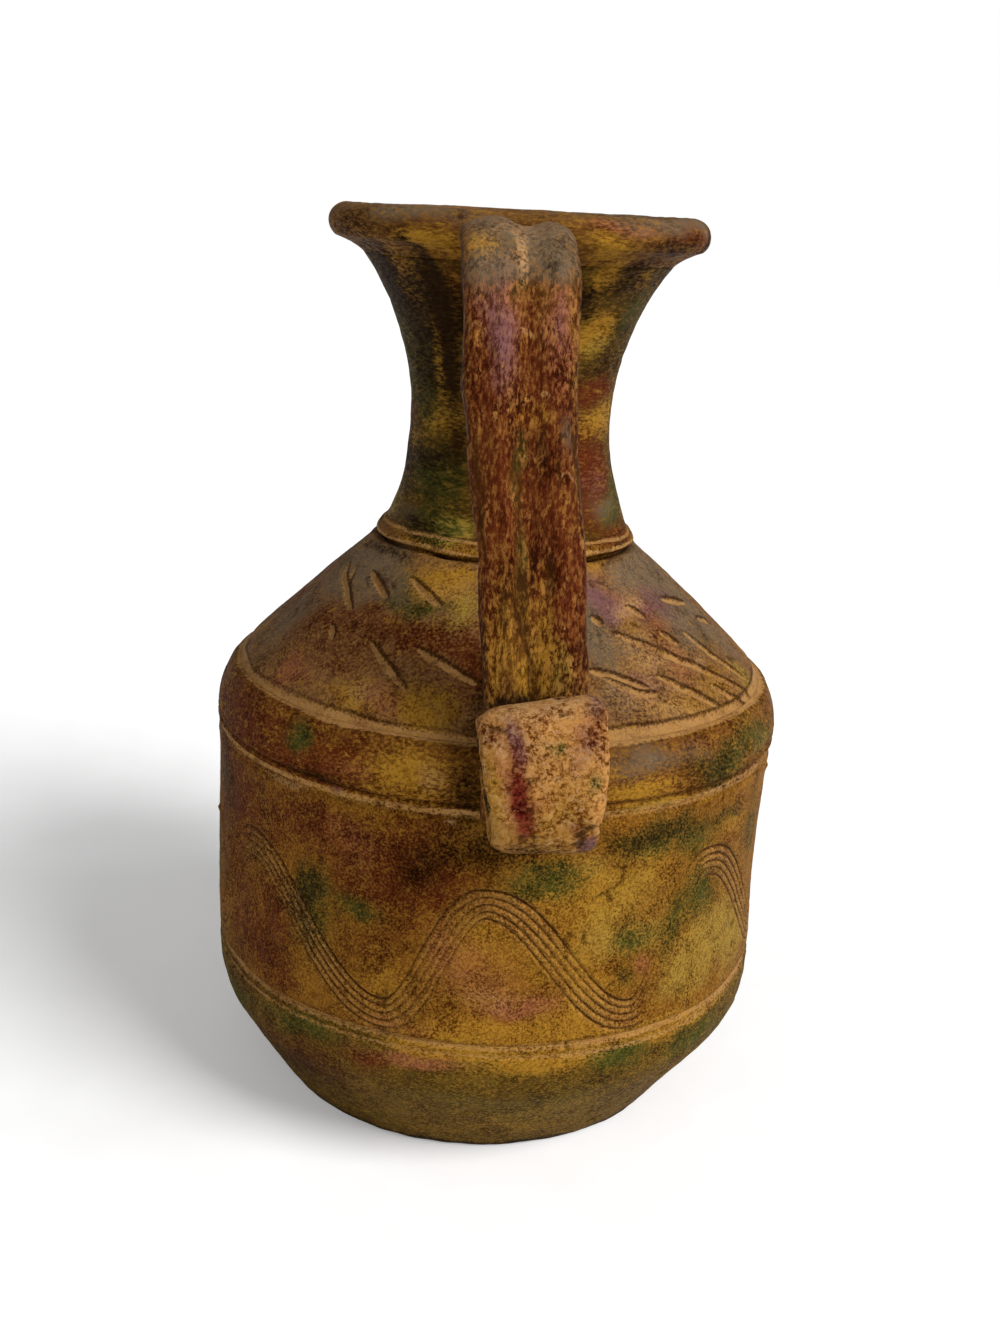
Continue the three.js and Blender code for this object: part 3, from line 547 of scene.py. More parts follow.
# What each slip has of its own: rough is its skin's depth in millimetres, grain its grains along a metre
SLIPS = {
    "FootSlip": {"ground": "lower_ground"},
    "LowerSlip": {"ground": "lower_ground", "stretch": ALONG_TURNING},
    "BellySlip": {"ground": "belly_ground", "speckle": 1.1},
    "BandSlip": {"ground": "band_ground", "stretch": ALONG_TURNING, "grain": 1200, "flakes": 0.8},
    "ShoulderSlip": {"ground": "shoulder_ground", "grain": 1200, "flakes": 0.7},
    "RingSlip": {"ground": "band_ground"},
    "NeckSlip": {
        "ground": "neck_ground", "stretch": ALONG_BRUSH, "speckle": 0.6, "grain": 1100, "flakes": 0.5,
    },
    "RimSlip": {
        "ground": "rim_ground", "stretch": ALONG_BRUSH, "speckle": 0.8, "grain": 1100, "flakes": 0.7,
    },
    "StrapSlip": {
        "ground": "strap_ground", "stretch": ALONG_STRAP, "speckle": 1.15, "shine": 0.08, "grain": 1000,
        "flakes": 0.75, "worn_to": "flake", "pull": ALONG_HAIRS,
    },
    "ScrollSlip": {
        "ground": "scroll_ground", "speckle": 1.19, "shine": 0.05, "rough": 1.5, "grain": 850, "flakes": 0.8,
        "worn_to": "cream",
    },
    "WadSlip": {"ground": "strap_ground"},
}

# How finely the slips vary, as lumps along a metre
CLOUD_SCALE = 60
DRIFT_SCALE = 130
PATCH_SCALE = 260
FLAKE_SCALE = 330
HAIR_SCALE = 520
GROG_SCALE = 900

# A hairline runs where its noise comes this near to its middle value
HAIR_WIDTH = 0.045

# How much of a wash stays where it was rubbed off, and how strong grit and light specks are
WASH_LEFT_ON = 0.52
SOOT_LEFT_ON = 0.75
GRIT = 0.88
GRIT_ON_CUTS = 0.45
SPECKS = 0.46

# How much of them is left under a film of wash
GRIT_LEFT = {"slate": 0.75, "violet": 0.85}
SPECKS_LEFT = {"oxblood": 0.45, "green": 0.5}
LIGHTS_LEFT = {"slate": 0.5, "violet": 0.55, "crimson": 0.25, "soot": 0.05}

# What clouds, grit, dirt and blotches leave of a slip's colour, and the tint of its wax
CLOUD_SHADE = 0.72
GRIT_SHADE = (0.26, 0.15, 0.09, 1)
DIRT_SHADE = (0.62, 0.52, 0.48, 1)
BLOTCH_SHADE = (0.42, 0.3, 0.24, 1)
WARM_SHINE = (1.0, 0.7, 0.35, 1)

# The stage, in metres and degrees: lamps as name, place, strength and softness, and the photograph's place
LAMPS = (("KeyLight", (0.72, -0.62, 0.95), 3.0, 30), ("FrontLight", (-0.35, -0.9, 0.6), 0.4, 60))
LAMP_AIM = (0, 0, 0.13)
FLOOR_SIZE = 12
FLOOR_GLOW = 0.22
ROOM_GLOW = 0.25
CAMERA_PLACE = (-0.0494, -0.4335, 0.2617)
CAMERA_YAW, CAMERA_TILT, CAMERA_ROLL = -6.61, 17.17, 2.96
CAMERA_LENS = 40.51
CAMERA_SENSOR = 36


# Clay as numbers

def clay_noise(place, lump, seed):
    """Smooth lumps from -1 to 1, about one lump across, at places in millimetres."""
    cell = place / lump
    corner = np.floor(cell).astype(np.int64)
    part = cell - corner
    part = part * part * (3 - 2 * part)
    total = np.zeros(len(place))
    for step in np.ndindex(2, 2, 2):
        spot = corner + np.array(step)
        mixed = spot[:, 0] * 73856093 ^ spot[:, 1] * 19349663 ^ spot[:, 2] * 83492791 ^ seed * 2654435761
        mixed = (mixed ^ (mixed >> 13)) * 1274126177
        value = ((mixed ^ (mixed >> 16)) & 0xFFFF) / 32767.5 - 1
        total += value * np.prod(np.where(step, part, 1 - part), axis=1)
    return total


def lumps(place, parts):
    """Lumps of several sizes together. Each part is a strength, a size in millimetres and a seed."""
    return sum(strength * clay_noise(place, size, seed) for strength, size, seed in parts)


def bump(distance, half_width):
    """A soft ridge: 1 in the middle, fading over its half width."""
    return np.exp(-((distance / half_width) ** 2))


def smooth_step(value, start, end):
    share = np.clip((value - start) / (end - start), 0, 1)
    return share * share * (3 - 2 * share)


def turned_by(azimuth, other, round_trip=360):
    """The turn from one azimuth to another, in degrees, the short way."""
    return (azimuth - other + round_trip / 2) % round_trip - round_trip / 2


def arc(centre, radius, start, end, count):
    angle = np.radians(np.linspace(start, end, count))
    return np.column_stack([centre[0] + radius * np.cos(angle), centre[1] + radius * np.sin(angle)])


def eased(start, control, end, count):
    share = np.linspace(0, 1, count)[:, None]
    return (1 - share) ** 2 * start + 2 * share * (1 - share) * control + share**2 * end


def smooth_line(knots, count):
    """A curve through the knots, at evenly spaced points."""
    knots = np.array(knots, float)
    along = np.concatenate([[0], np.cumsum(np.linalg.norm(np.diff(knots, axis=0), axis=1))])
    slope = np.gradient(knots, along, axis=0)
    fine = np.linspace(0, along[-1], 20 * count)
    left = np.clip(np.searchsorted(along, fine, side="right") - 1, 0, len(along) - 2)
    span = (along[left + 1] - along[left])[:, None]
    t = (fine - along[left])[:, None] / span
    points = (2 * t**3 - 3 * t**2 + 1) * knots[left] + (t**3 - 2 * t**2 + t) * span * slope[left]
    points += (3 * t**2 - 2 * t**3) * knots[left + 1] + (t**3 - t**2) * span * slope[left + 1]
    return evenly(points, count)


def evenly(points, count):
    """The same line with its points evenly spaced."""
    along = np.concatenate([[0], np.cumsum(np.linalg.norm(np.diff(points, axis=0), axis=1))])
    spots = np.linspace(0, along[-1], count)
    return np.column_stack([np.interp(spots, along, points[:, 0]), np.interp(spots, along, points[:, 1])])


class Side:
    """The vase's side as drawn on paper: radius and outward direction at each height, in millimetres."""

    def __init__(self):
        s = self.sizes = sizes()
        self.waist_z = NECK_SEAM + s.waist_rise
        taper = math.atan2(BELLY_R - s.foot_radius, s.taper_height)
        middle = (BELLY_R - s.corner_radius, s.taper_height + s.corner_radius * math.tan(taper / 2))
        foot = arc((s.foot_radius - s.foot_edge, s.foot_edge), s.foot_edge, -90, -math.degrees(taper), 8)
        corner = arc(middle, s.corner_radius, -math.degrees(taper), 0, 24)
        flank = eased(
            np.array([BELLY_R, LOWER_SEAM]),
            np.array([BELLY_R - 2 * s.belly_waist, (LOWER_SEAM + BAND_SEAM) / 2]),
            np.array([BELLY_R, BAND_SEAM - 0.2]),
            40,
        )
        self.bend_centre = (BAND_R - s.shoulder_bend, BAND_SEAM + s.band_straight)
        bend = arc(self.bend_centre, s.shoulder_bend, 0, 45, 24)
        neck_foot = np.array([self.neck(NECK_SEAM), NECK_SEAM])
        reach = np.linalg.norm(neck_foot - bend[-1]) / 2
        slope = eased(bend[-1], bend[-1] + reach * np.array([-1, 1]) / math.sqrt(2), neck_foot, 30)
        heights = np.linspace(NECK_SEAM, LIP_SEAM, 160)[1:]
        rise = np.clip((heights - NECK_SEAM) / (RING_TOP - NECK_SEAM), 0, 1)
        ring = s.ring_proud * np.sqrt(np.clip(np.sin(math.pi * rise), 0, 1))
        neck = np.column_stack([self.neck(heights) + ring, heights])
        band = np.array([[BAND_R, BAND_SEAM + 0.2]])
        self.points = np.vstack([foot, corner, flank, band, bend, slope[1:], neck])
        self.taper_wall = s.wall / math.cos(taper)
        self.ring_seat = self.neck(RING_TOP) + s.ring_proud - s.band_thickness
        self.lip_lap = (self.neck(LIP_SEAM) + self.neck(LIP_SEAM, s.wall)) / 2
        run = np.gradient(self.points, axis=0)
        size = np.hypot(run[:, 0], run[:, 1])
        self.out_r = run[:, 1] / size
        self.out_z = -run[:, 0] / size

    def neck(self, z, inset=0):
        """The neck's one round sweep, or the same at a depth inside its wall."""
        s = self.sizes
        radius = s.neck_sweep + inset
        return s.neck_waist + s.neck_sweep - np.sqrt(radius**2 - (z - self.waist_z) ** 2)

    def radius(self, z):
        return np.interp(z, self.points[:, 1], self.points[:, 0])

    def outward(self, z):
        heights = self.points[:, 1]
        return np.interp(z, heights, self.out_r), np.interp(z, heights, self.out_z)


def sway(z):
    """How far the pot leans aside at each height, in millimetres."""
    heights, shifts = np.array(SWAY, float).T
    spot = np.interp(z, heights, np.arange(len(heights)))
    left = np.clip(np.floor(spot).astype(int), 0, len(heights) - 2)
    return shifts[left] + (shifts[left + 1] - shifts[left]) * smooth_step(spot - left, 0, 1)


def swayed(places):
    """The places, leant aside with the pot."""
    places[:, 0] += sway(places[:, 2])
    return places


def on_wall(azimuth, radius, z):
    """Places in millimetres from azimuth in degrees (0 at the front handle), radius and height."""
    angle = np.radians(azimuth)
    level = np.broadcast_to(z, angle.shape)
    return np.column_stack([radius * np.sin(angle), -radius * np.cos(angle), level])


def azimuth_of(points):
    return np.degrees(np.arctan2(points[:, 0], -points[:, 1]))


# Tool marks on the walls

def wave_height(azimuth):
    """Height of the combed wave's middle line, and its rise for each millimetre along the wall."""
    knots = np.array(WAVE + tuple((a + 360, z) for a, z in WAVE[:1]), float)
    turn = (azimuth - knots[0, 0]) % 360 + knots[0, 0]
    left = np.clip(np.searchsorted(knots[:, 0], turn, side="right") - 1, 0, len(knots) - 2)
    span = knots[left + 1, 0] - knots[left, 0]
    rise = knots[left + 1, 1] - knots[left, 1]
    share = (turn - knots[left, 0]) / span
    height = knots[left, 1] + rise * (0.5 - 0.5 * np.cos(math.pi * share))
    slope = rise * 0.5 * math.pi * np.sin(math.pi * share) / (span * math.radians(BELLY_R))
    return height, slope


def comb_marks(azimuth, z, place, s):
    """The wave that a five-toothed comb left: grooves, bared ridges and wash lying in the grooves."""
    middle, slope = wave_height(azimuth)
    distance = (z - middle) / np.hypot(1, slope)
    near = np.abs(distance) < 4 * s.comb_pitch
    smudged = bump(turned_by(azimuth, SMUDGE[0]), SMUDGE[1])
    lifted = 1 - 0.2 * smooth_step(slope, 0.3, 1.2) - 0.45 * smudged
    press = (0.85 + 0.3 * clay_noise(place, 17, 21)) * lifted
    plain = 0.8 + 0.2 * smooth_step(turned_by(azimuth, 0, 180), -20, 40)
    depth, dark = np.zeros((2, len(z)))
    for tooth in COMB_TEETH:
        line = bump(distance - tooth * s.comb_pitch, s.comb_tooth)
        strength = 1.15 if tooth == COMB_TEETH[-1] else 0.9
        depth += strength * line
        dark += strength * bump(distance - tooth * s.comb_pitch, 0.75 * s.comb_tooth)
    bared = np.exp(-((distance / (2.75 * s.comb_pitch)) ** 8))
    height = press * s.comb_depth * (0.35 * bared - depth)
    cut = 0.48 * bared * press * plain
    brow = 1.35 * dark * press * plain
    return [np.where(near, mark, 0) for mark in (height, cut, brow)]


def line_marks(azimuth, z, s):
    """Lines tooled round the body along its seams."""
    height, cut, brow = np.zeros((3, len(z)))
    right = smooth_step(turned_by(azimuth, 0, 180), -12, 18)
    for number, (level, half_width, depth, bared, edge, floor) in enumerate(SEAM_LINES):
        ring = on_wall(azimuth, BELLY_R, level)
        stray = 0.5 * clay_noise(ring, 34, 31 + number) + 0.15 * clay_noise(ring, 9, 41 + number)
        width = half_width * (0.86 + 0.22 * right + 0.25 * clay_noise(ring, 13, 51 + number))
        press = 0.85 + 0.25 * clay_noise(ring, 17, 71 + number)
        worn = np.clip(0.9 + 0.3 * clay_noise(ring, 23, 61 + number), 0.5, 1)
        distance = z - level - stray
        groove = np.exp(-((distance / width) ** 4)) * press
        height -= depth * s.seam_depth * groove
        height += 0.2 * abs(depth) * bump(distance + 2.1 * half_width, half_width)
        cut = np.maximum(cut, bared * worn * np.exp(-((distance / (1.05 * width)) ** 4)))
        # A dark edge above the line and a weaker one below it: partly painted shadow on the groove's lips, and
        # partly gathered wash.
        rim = bump(distance - width - 0.55, 0.45) + 0.5 * bump(distance + width + 0.4, 0.35)
        brow = np.maximum(brow, np.maximum(edge * rim * worn, floor * groove))
    return height, cut, brow


def stroke_marks(azimuth, z, place, s, side):
    """Strokes cut into the shoulder with a stick, on both faces between the handles."""
    height, cut, brow = np.zeros((3, len(z)))
    stray = 0.3 * clay_noise(place, 5, 33)
    press = 0.85 + 0.3 * clay_noise(place, 4, 34)
    for stroke in STROKES:
        distance, above, share = stroke_distance(stroke, azimuth, z, side, math.sqrt(2))
        half_width = s.stroke_width * (0.35 + 0.65 * np.sqrt(np.clip(np.sin(math.pi * share), 0, 1)))
        groove = np.exp(-(((distance + stray) / half_width) ** 2)) * press
        height = np.minimum(height, -s.stroke_depth * groove)
        cut = np.maximum(cut, 1.2 * groove)
        # A dark edge along the stroke's upper side: partly painted shadow of its upper wall, and partly
        # gathered wash.
        edge = 1.6 * bump(distance - 1.45 * half_width, 0.6) * smooth_step(above, 0, 0.9) * press
        brow = np.maximum(brow, edge)
        height += 0.22 * s.stroke_depth * edge
    return height, cut, brow


def stroke_distance(stroke, azimuth, z, side, steep):
    """Distance from a stroke in millimetres, how far that is upwards, and the share of its length."""
    best = np.full(len(z), 1e3)
    above, along = np.zeros((2, len(z)))
    scale = math.radians(1) * side.radius(z)
    parts = len(stroke) - 1
    for part, ((a0, z0), (a1, z1)) in enumerate(zip(stroke, stroke[1:])):
        across = turned_by(azimuth, a0, 180) * scale
        up = (z - z0) * steep
        run = np.array([(a1 - a0) * math.radians(1) * side.radius((z0 + z1) / 2), (z1 - z0) * steep])
        share = np.clip((across * run[0] + up * run[1]) / (run @ run), 0, 1)
        distance = np.hypot(across - share * run[0], up - share * run[1])
        nearer = distance < best
        best = np.where(nearer, distance, best)
        above = np.where(nearer, up - share * run[1], above)
        along = np.where(nearer, (part + share) / parts, along)
    return best, above, along


def crack_marks(azimuth, z, place, side):
    """Drying cracks, pits and crumbs of clay."""
    height, cut, brow = np.zeros((3, len(z)))
    wander = 0.3 * clay_noise(place, 2.5, 35)
    for crack in CRACKS:
        distance = stroke_distance(crack, azimuth, z, side, 1)[0]
        line = bump(distance + wander, CRACK_WIDTH)
        height -= CRACK_DEPTH * line
        brow = np.maximum(brow, 0.85 * line)
    for a, level, half_width in CRUMBS:
        across = turned_by(azimuth, a, 180) * math.radians(1) * side.radius(z)
        away = np.hypot(across, z - level) + wander
        height += CRUMB_HEIGHT * bump(away, half_width)
        brow = np.maximum(brow, 0.6 * bump(away - 1.4 * half_width, 0.6))
    return height, cut, brow


def skin_height(place, s):
    """Wobble of the hand-built wall and the fine lumps of its skin, and its pits from 0 to 1."""
    height = s.wobble * lumps(place, WOBBLE_LUMPS)
    height += s.grain * lumps(place, GRAIN_LUMPS)
    pits = smooth_step(clay_noise(place, 3.4, 5), 0.62, 0.8)
    return height - 0.35 * pits, pits


def wall_marks(azimuth, z, place, side):
    """All marks on the walls: height in millimetres, bared clay and dark edges from 0 to 1."""
    s = side.sizes
    skin, pits = skin_height(place, s)
    marks = [line_marks(azimuth, z, s), crack_marks(azimuth, z, place, side)]
    if z.min() < BAND_SEAM - 1 and z.max() > LOWER_SEAM + 1:
        marks.append(comb_marks(azimuth, z, place, s))
    if z.min() < NECK_SEAM - 1 and z.max() > STROKES_START:
        marks.append(stroke_marks(azimuth, z, place, s, side))
    height = skin + sum(mark[0] for mark in marks)
    cut = np.max([mark[1] for mark in marks], axis=0)
    brow = np.max([mark[2] for mark in marks] + [0.6 * pits], axis=0)
    return height, cut, brow


# Paint

def wash_fields(tables, across_from, up, place):
    """How strongly each wash lies at each point, from 0 to 1."""
    stray_a = lumps(place, STRAY_ACROSS)
    stray_u = lumps(place, STRAY_UP)
    left_bare = {wash: np.ones(len(up)) for wash in WASHES}
    dabs = ((wash, *dab) for table in tables for wash, row in table.items() for dab in row)
    for wash, across, height, half_width, half_height, strength in dabs:
        a = (across_from(across) + stray_a * min(1, half_width / STRAY_FULL)) / half_width
        u = (up - height + stray_u * min(1, half_height / STRAY_FULL)) / half_height
        left_bare[wash] *= 1 - strength * np.exp(-(a * a + u * u))
    return {wash: 1 - bare for wash, bare in left_bare.items()}


def write_fields(piece, fields):
    """Keeps the painted fields on the piece's points, where its material reads them."""
    for name, values in fields.items():
        attribute = piece.data.attributes.new(name, "FLOAT", "POINT")
        attribute.data.foreach_set("value", np.asarray(values, np.float32))


def points_of(piece):
    flat = np.zeros(3 * len(piece.data.vertices))
    piece.data.vertices.foreach_get("co", flat)
    return flat.reshape(-1, 3) / MM


def move_points(piece, places):
    piece.data.vertices.foreach_set("co", (places * MM).astype(np.float32).ravel())
    piece.data.update()


# Modelling steps

def clear_selection():
    """Object mode with nothing selected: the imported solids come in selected."""
    if bpy.context.mode != "OBJECT":
        bpy.ops.object.mode_set(mode="OBJECT")
    bpy.ops.object.select_all(action="DESELECT")


def edit_all():
    """Edit mode with everything selected."""
    bpy.ops.object.mode_set(mode="EDIT")
    bpy.ops.mesh.select_all(action="SELECT")


def skin_name(node):
    return node.replace("_", " ").title().replace(" ", "") + "Skin"


def name_piece(name):
    piece = bpy.context.object
    piece.name = name
    piece.data.name = name
    return piece


def turn_outline(name, outline, steps):
    """Draws a closed outline of (radius, height) by extruding one point, and turns it round the axis."""
    clear_selection()
    bpy.ops.mesh.primitive_plane_add(size=MM, location=(0, 0, 0))
    piece = name_piece(name)
    edit_all()
    bpy.ops.mesh.merge(type="CENTER")
    start = outline[0] * MM
    bpy.ops.transform.translate(value=(0, -start[0], start[1]))
    for step in np.diff(np.vstack([outline, outline[:1]]), axis=0) * MM:
        bpy.ops.mesh.extrude_vertices_move(TRANSFORM_OT_translate={"value": (0, -step[0], step[1])})
    bpy.ops.object.mode_set(mode="OBJECT")
    wheel = piece.modifiers.new("Wheel", "SCREW")
    wheel.axis = "Z"
    wheel.angle = 2 * math.pi
    wheel.steps = steps
    wheel.render_steps = steps
    bpy.ops.object.modifier_apply(modifier=wheel.name)
    edit_all()
    bpy.ops.mesh.remove_doubles(threshold=WELD)
    bpy.ops.mesh.normals_make_consistent(inside=False)
    bpy.ops.object.mode_set(mode="OBJECT")
    bpy.ops.object.shade_smooth()
    return piece


def outline_rows(points, outline):
    """Which point of the outline each vertex of a turned piece came from."""
    radius = np.hypot(points[:, 0], points[:, 1])
    rows = np.empty(len(points), int)
    for part in np.array_split(np.arange(len(points)), max(1, len(points) // 20000)):
        apart = (radius[part, None] - outline[:, 0]) ** 2 + (points[part, 2, None] - outline[:, 1]) ** 2
        rows[part] = np.argmin(apart, axis=1)
    return rows


def seat_piece(piece, node, material):
    """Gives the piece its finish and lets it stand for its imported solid."""
    piece.data.materials.clear()
    piece.data.materials.append(material)
    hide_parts(node)
    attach(piece, "root")


def finish_wall(piece, outline, skin_rows, side, row_heights=None):
    """Gives a turned wall its wobble, tool marks and paint. The first rows of the outline are its skin."""
    points = points_of(piece)
    rows = outline_rows(points, outline)
    azimuth = azimuth_of(points)
    skin = rows < skin_rows
    z = points[skin, 2] if row_heights is None else row_heights(rows[skin], azimuth[skin])
    out_r, out_z = side.outward(z)
    radius = side.radius(z)
    if row_heights is None:
        radius = np.hypot(points[skin, 0], points[skin, 1])
    height, fields = paint_wall(azimuth[skin], radius, z, side)
    places = points.copy()
    places[skin] = on_wall(azimuth[skin], radius + height * out_r, z + height * out_z)
    move_points(piece, swayed(places))
    spread = {name: np.zeros(len(points)) for name in fields}
    for name, values in fields.items():
        spread[name][skin] = values
    spread["inside"] = np.where(skin, 0.0, 1.0)
    write_fields(piece, spread)


def paint_wall(azimuth, radius, z, side):
    """Height of the wall's marks, and its painted fields."""
    place = on_wall(azimuth, radius, z)
    height, cut, brow = wall_marks(azimuth, z, place, side)
    scale = math.radians(1) * radius
    fields = wash_fields(WALL_DABS, lambda a: turned_by(azimuth, a, 180) * scale, z, place)
    fields["cut"] = np.clip(cut, 0, 1)
    fields["brow"] = np.clip(brow, 0, 1)
    return height, fields


def heights_between(low, high, spacing):
    return np.linspace(low, high, max(2, round((high - low) / spacing) + 1))


# Materials

class Nodes:
    """A node tree, with short names for the nodes that the slips are mixed from."""

    def __init__(self, tree):
        self.tree = tree

    def feed(self, socket, value):
        """Links a socket to another one, or sets its value."""
        if isinstance(value, bpy.types.NodeSocket):
            self.tree.links.new(value, socket)
        else:
            socket.default_value = value

    def add(self, kind, inputs=(), **settings):
        """A node with its settings, and its inputs fed by name or number."""
        node = self.tree.nodes.new(kind)
        for name, value in settings.items():
            setattr(node, name, value)
        for key, value in dict(inputs).items():
            self.feed(node.inputs[key], value)
        return node

    def place(self):
        return self.add("ShaderNodeTexCoord").outputs["Object"]

    def stretched(self, place, stretch):
        return self.add("ShaderNodeMapping", {"Vector": place, "Scale": stretch}).outputs[0]

    def noise(self, place, scale, detail=3.0, roughness=0.55):
        inputs = {"Vector": place, "Scale": scale, "Detail": detail, "Roughness": roughness}
        return self.add("ShaderNodeTexNoise", inputs).outputs[0]

    def math(self, operation, *values):
        return self.add("ShaderNodeMath", dict(enumerate(values)), operation=operation).outputs[0]

    def plus(self, first, second):
        return self.math("ADD", first, second)

    def times(self, first, second):
        return self.math("MULTIPLY", first, second)

    def ramp(self, value, low, high, start=0.0, end=1.0):
        """Runs smoothly from start to end while the value goes from low to high."""
        inputs = {"Value": value, "From Min": low, "From Max": high, "To Min": start, "To Max": end}
        return self.add("ShaderNodeMapRange", inputs, interpolation_type="SMOOTHSTEP").outputs[0]

    def layered(self, share, under, over, blend="MIX"):
        inputs = {0: share, 6: under, 7: over}
        return self.add("ShaderNodeMix", inputs, data_type="RGBA", blend_type=blend).outputs[2]

    def shaded(self, share, tone, shade):
        return self.layered(share, tone, shade, "MULTIPLY")

    def field(self, name):
        return self.add("ShaderNodeAttribute", attribute_name=name).outputs["Fac"]

    def covered(self, value, left):
        """A value that falls to what is left of it where a film of wash covers it."""
        for wash, share in left.items():
            value = self.times(value, self.ramp(self.field(wash), 0.0, 0.9, 1.0, share))
        return value

    def bump(self, height, strength, millimetres):
        inputs = {"Height": height, "Strength": strength, "Distance": millimetres * MM}
        return self.add("ShaderNodeBump", inputs).outputs[0]


def new_material(name):
    material = bpy.data.materials.new(name)
    material.use_nodes = True
    tree = material.node_tree
    return material, Nodes(tree), tree.nodes["Principled BSDF"].inputs


def finish_material(nodes, sockets, finish):
    for name, value in finish.items():
        nodes.feed(sockets[name], value)


def rubbed_washes(nodes, tone, colours, hollow, ridge, patch):
    """Washes over the ground, one after another: they stay in hollows or catch on ridges."""
    for wash in WASHES:
        lies_on = hollow if wash in SUNKEN_WASHES else ridge
        rub = nodes.plus(nodes.times(lies_on, 0.7), nodes.times(patch, 0.3))
        left_on = SOOT_LEFT_ON if wash == "soot" else WASH_LEFT_ON
        cover = nodes.times(nodes.field(wash), nodes.plus(rub, left_on))
        tone = nodes.layered(nodes.ramp(cover, 0.1, 0.9, 0.0, 0.96), tone, getattr(colours, wash))
    return tone


def hair_net(nodes, place, pull, patch):
    """Dark hairlines between patches of slip."""
    hairs = nodes.noise(nodes.stretched(place, pull), HAIR_SCALE, 4, 0.7)
    thread = nodes.math("ABSOLUTE", nodes.math("SUBTRACT", hairs, 0.5))
    return nodes.times(nodes.ramp(thread, 0.0, HAIR_WIDTH, 1.0, 0.0), nodes.ramp(patch, 0.1, 0.8, 0.2, 1.0))


def rubbed_slip(
    name, ground, stretch=EVEN, pull=None, worn_to="gold",
    speckle=1.0, shine=0.03, rough=0.7, grain=1500, flakes=0.6,
):
    """Ochre slip under washes that were rubbed back while damp, so the ground shows through in specks."""
    colours = slip_colours()
    ground = getattr(colours, ground)
    material, nodes, sockets = new_material(name)
    place = nodes.place()
    drawn = nodes.stretched(place, stretch)
    cloud = nodes.ramp(nodes.noise(place, CLOUD_SCALE, 4, 0.65), 0.36, 0.64)
    patch = nodes.ramp(nodes.noise(drawn, PATCH_SCALE, 4, 0.7), 0.34, 0.66)
    drift = nodes.noise(drawn, DRIFT_SCALE, 3, 0.6)
    flake = nodes.noise(drawn, FLAKE_SCALE, 4, 0.7)
    tooth = nodes.noise(drawn, grain, 5, 0.75)
    hollow = nodes.ramp(tooth, 0.62, 0.38)
    ridge = nodes.ramp(tooth, 0.38, 0.62)

    tone = nodes.layered(cloud, ground, (*(CLOUD_SHADE * value for value in ground[:3]), 1))
    tone = rubbed_washes(nodes, tone, colours, hollow, ridge, patch)
    rub = nodes.plus(nodes.times(ridge, 0.8), 0.55)
    bared = nodes.ramp(nodes.times(nodes.field("cut"), rub), 0.12, 0.7, 0.0, 0.9)
    tone = nodes.layered(bared, tone, colours.cut)

    grit = nodes.times(nodes.ramp(hollow, 0.5, 0.95), nodes.ramp(drift, 0.36, 0.64, 0.42, 1.0))
    dark = nodes.math("MAXIMUM", grit, hair_net(nodes, place, pull or stretch, patch))
    dark = nodes.times(dark, nodes.ramp(bared, 0.2, 0.9, GRIT * speckle, GRIT_ON_CUTS * speckle))
    tone = nodes.shaded(nodes.covered(dark, GRIT_LEFT), tone, GRIT_SHADE)
    tone = nodes.shaded(nodes.ramp(drift, 0.5, 0.7, 0.0, 0.6), tone, DIRT_SHADE)
    tone = nodes.shaded(nodes.ramp(flake, 0.44, 0.32, 0.0, 0.6 * flakes), tone, BLOTCH_SHADE)

    specks = nodes.covered(nodes.ramp(ridge, 0.66, 1.0, 0.0, SPECKS * speckle), SPECKS_LEFT)
    worn = nodes.times(nodes.ramp(flake, 0.54, 0.68, 0.0, flakes), nodes.ramp(ridge, 0.1, 0.7))
    lights = nodes.covered(nodes.math("MAXIMUM", specks, worn), LIGHTS_LEFT)
    tone = nodes.layered(lights, tone, getattr(colours, worn_to))
    # Dark edges of cuts and lines: partly painted shadow on their lips, and partly gathered wash.
    edge_shade_and_wash = nodes.times(nodes.field("brow"), nodes.plus(nodes.times(hollow, 0.35), 0.75))
    tone = nodes.layered(nodes.ramp(edge_shade_and_wash, 0.12, 0.95, 0.0, 0.9), tone, colours.brow)
    clay = nodes.layered(nodes.ramp(tooth, 0.4, 0.6, 0.0, 0.5), colours.bare, colours.dark_clay)
    finish_material(nodes, sockets, {
        "Base Color": nodes.layered(nodes.field("inside"), tone, clay),
        "Roughness": nodes.ramp(tooth, 0.35, 0.65, 0.66, 0.46),
        "Specular IOR Level": shine,
        "Specular Tint": WARM_SHINE,
        "Normal": nodes.bump(tooth, 0.7, rough),
    })
    return material


def slip(name):
    return rubbed_slip(name, **SLIPS[name])


def bare_clay(name):
    """Fired clay without slip, with pale grog and dark specks."""
    colours = slip_colours()
    material, nodes, sockets = new_material(name)
    place = nodes.place()
    grog = nodes.noise(place, GROG_SCALE, 2)
    cloud = nodes.ramp(nodes.noise(place, CLOUD_SCALE, 4), 0.35, 0.65)
    tone = nodes.layered(cloud, colours.bare, colours.brown_clay)
    finish_material(nodes, sockets, {
        "Base Color": nodes.layered(nodes.ramp(grog, 0.58, 0.7, 0, 0.6), tone, colours.cut),
        "Roughness": nodes.ramp(grog, 0.3, 0.7, 0.75, 0.95),
        "Normal": nodes.bump(grog, 0.5, 0.4),
    })
    return material


# Pieces

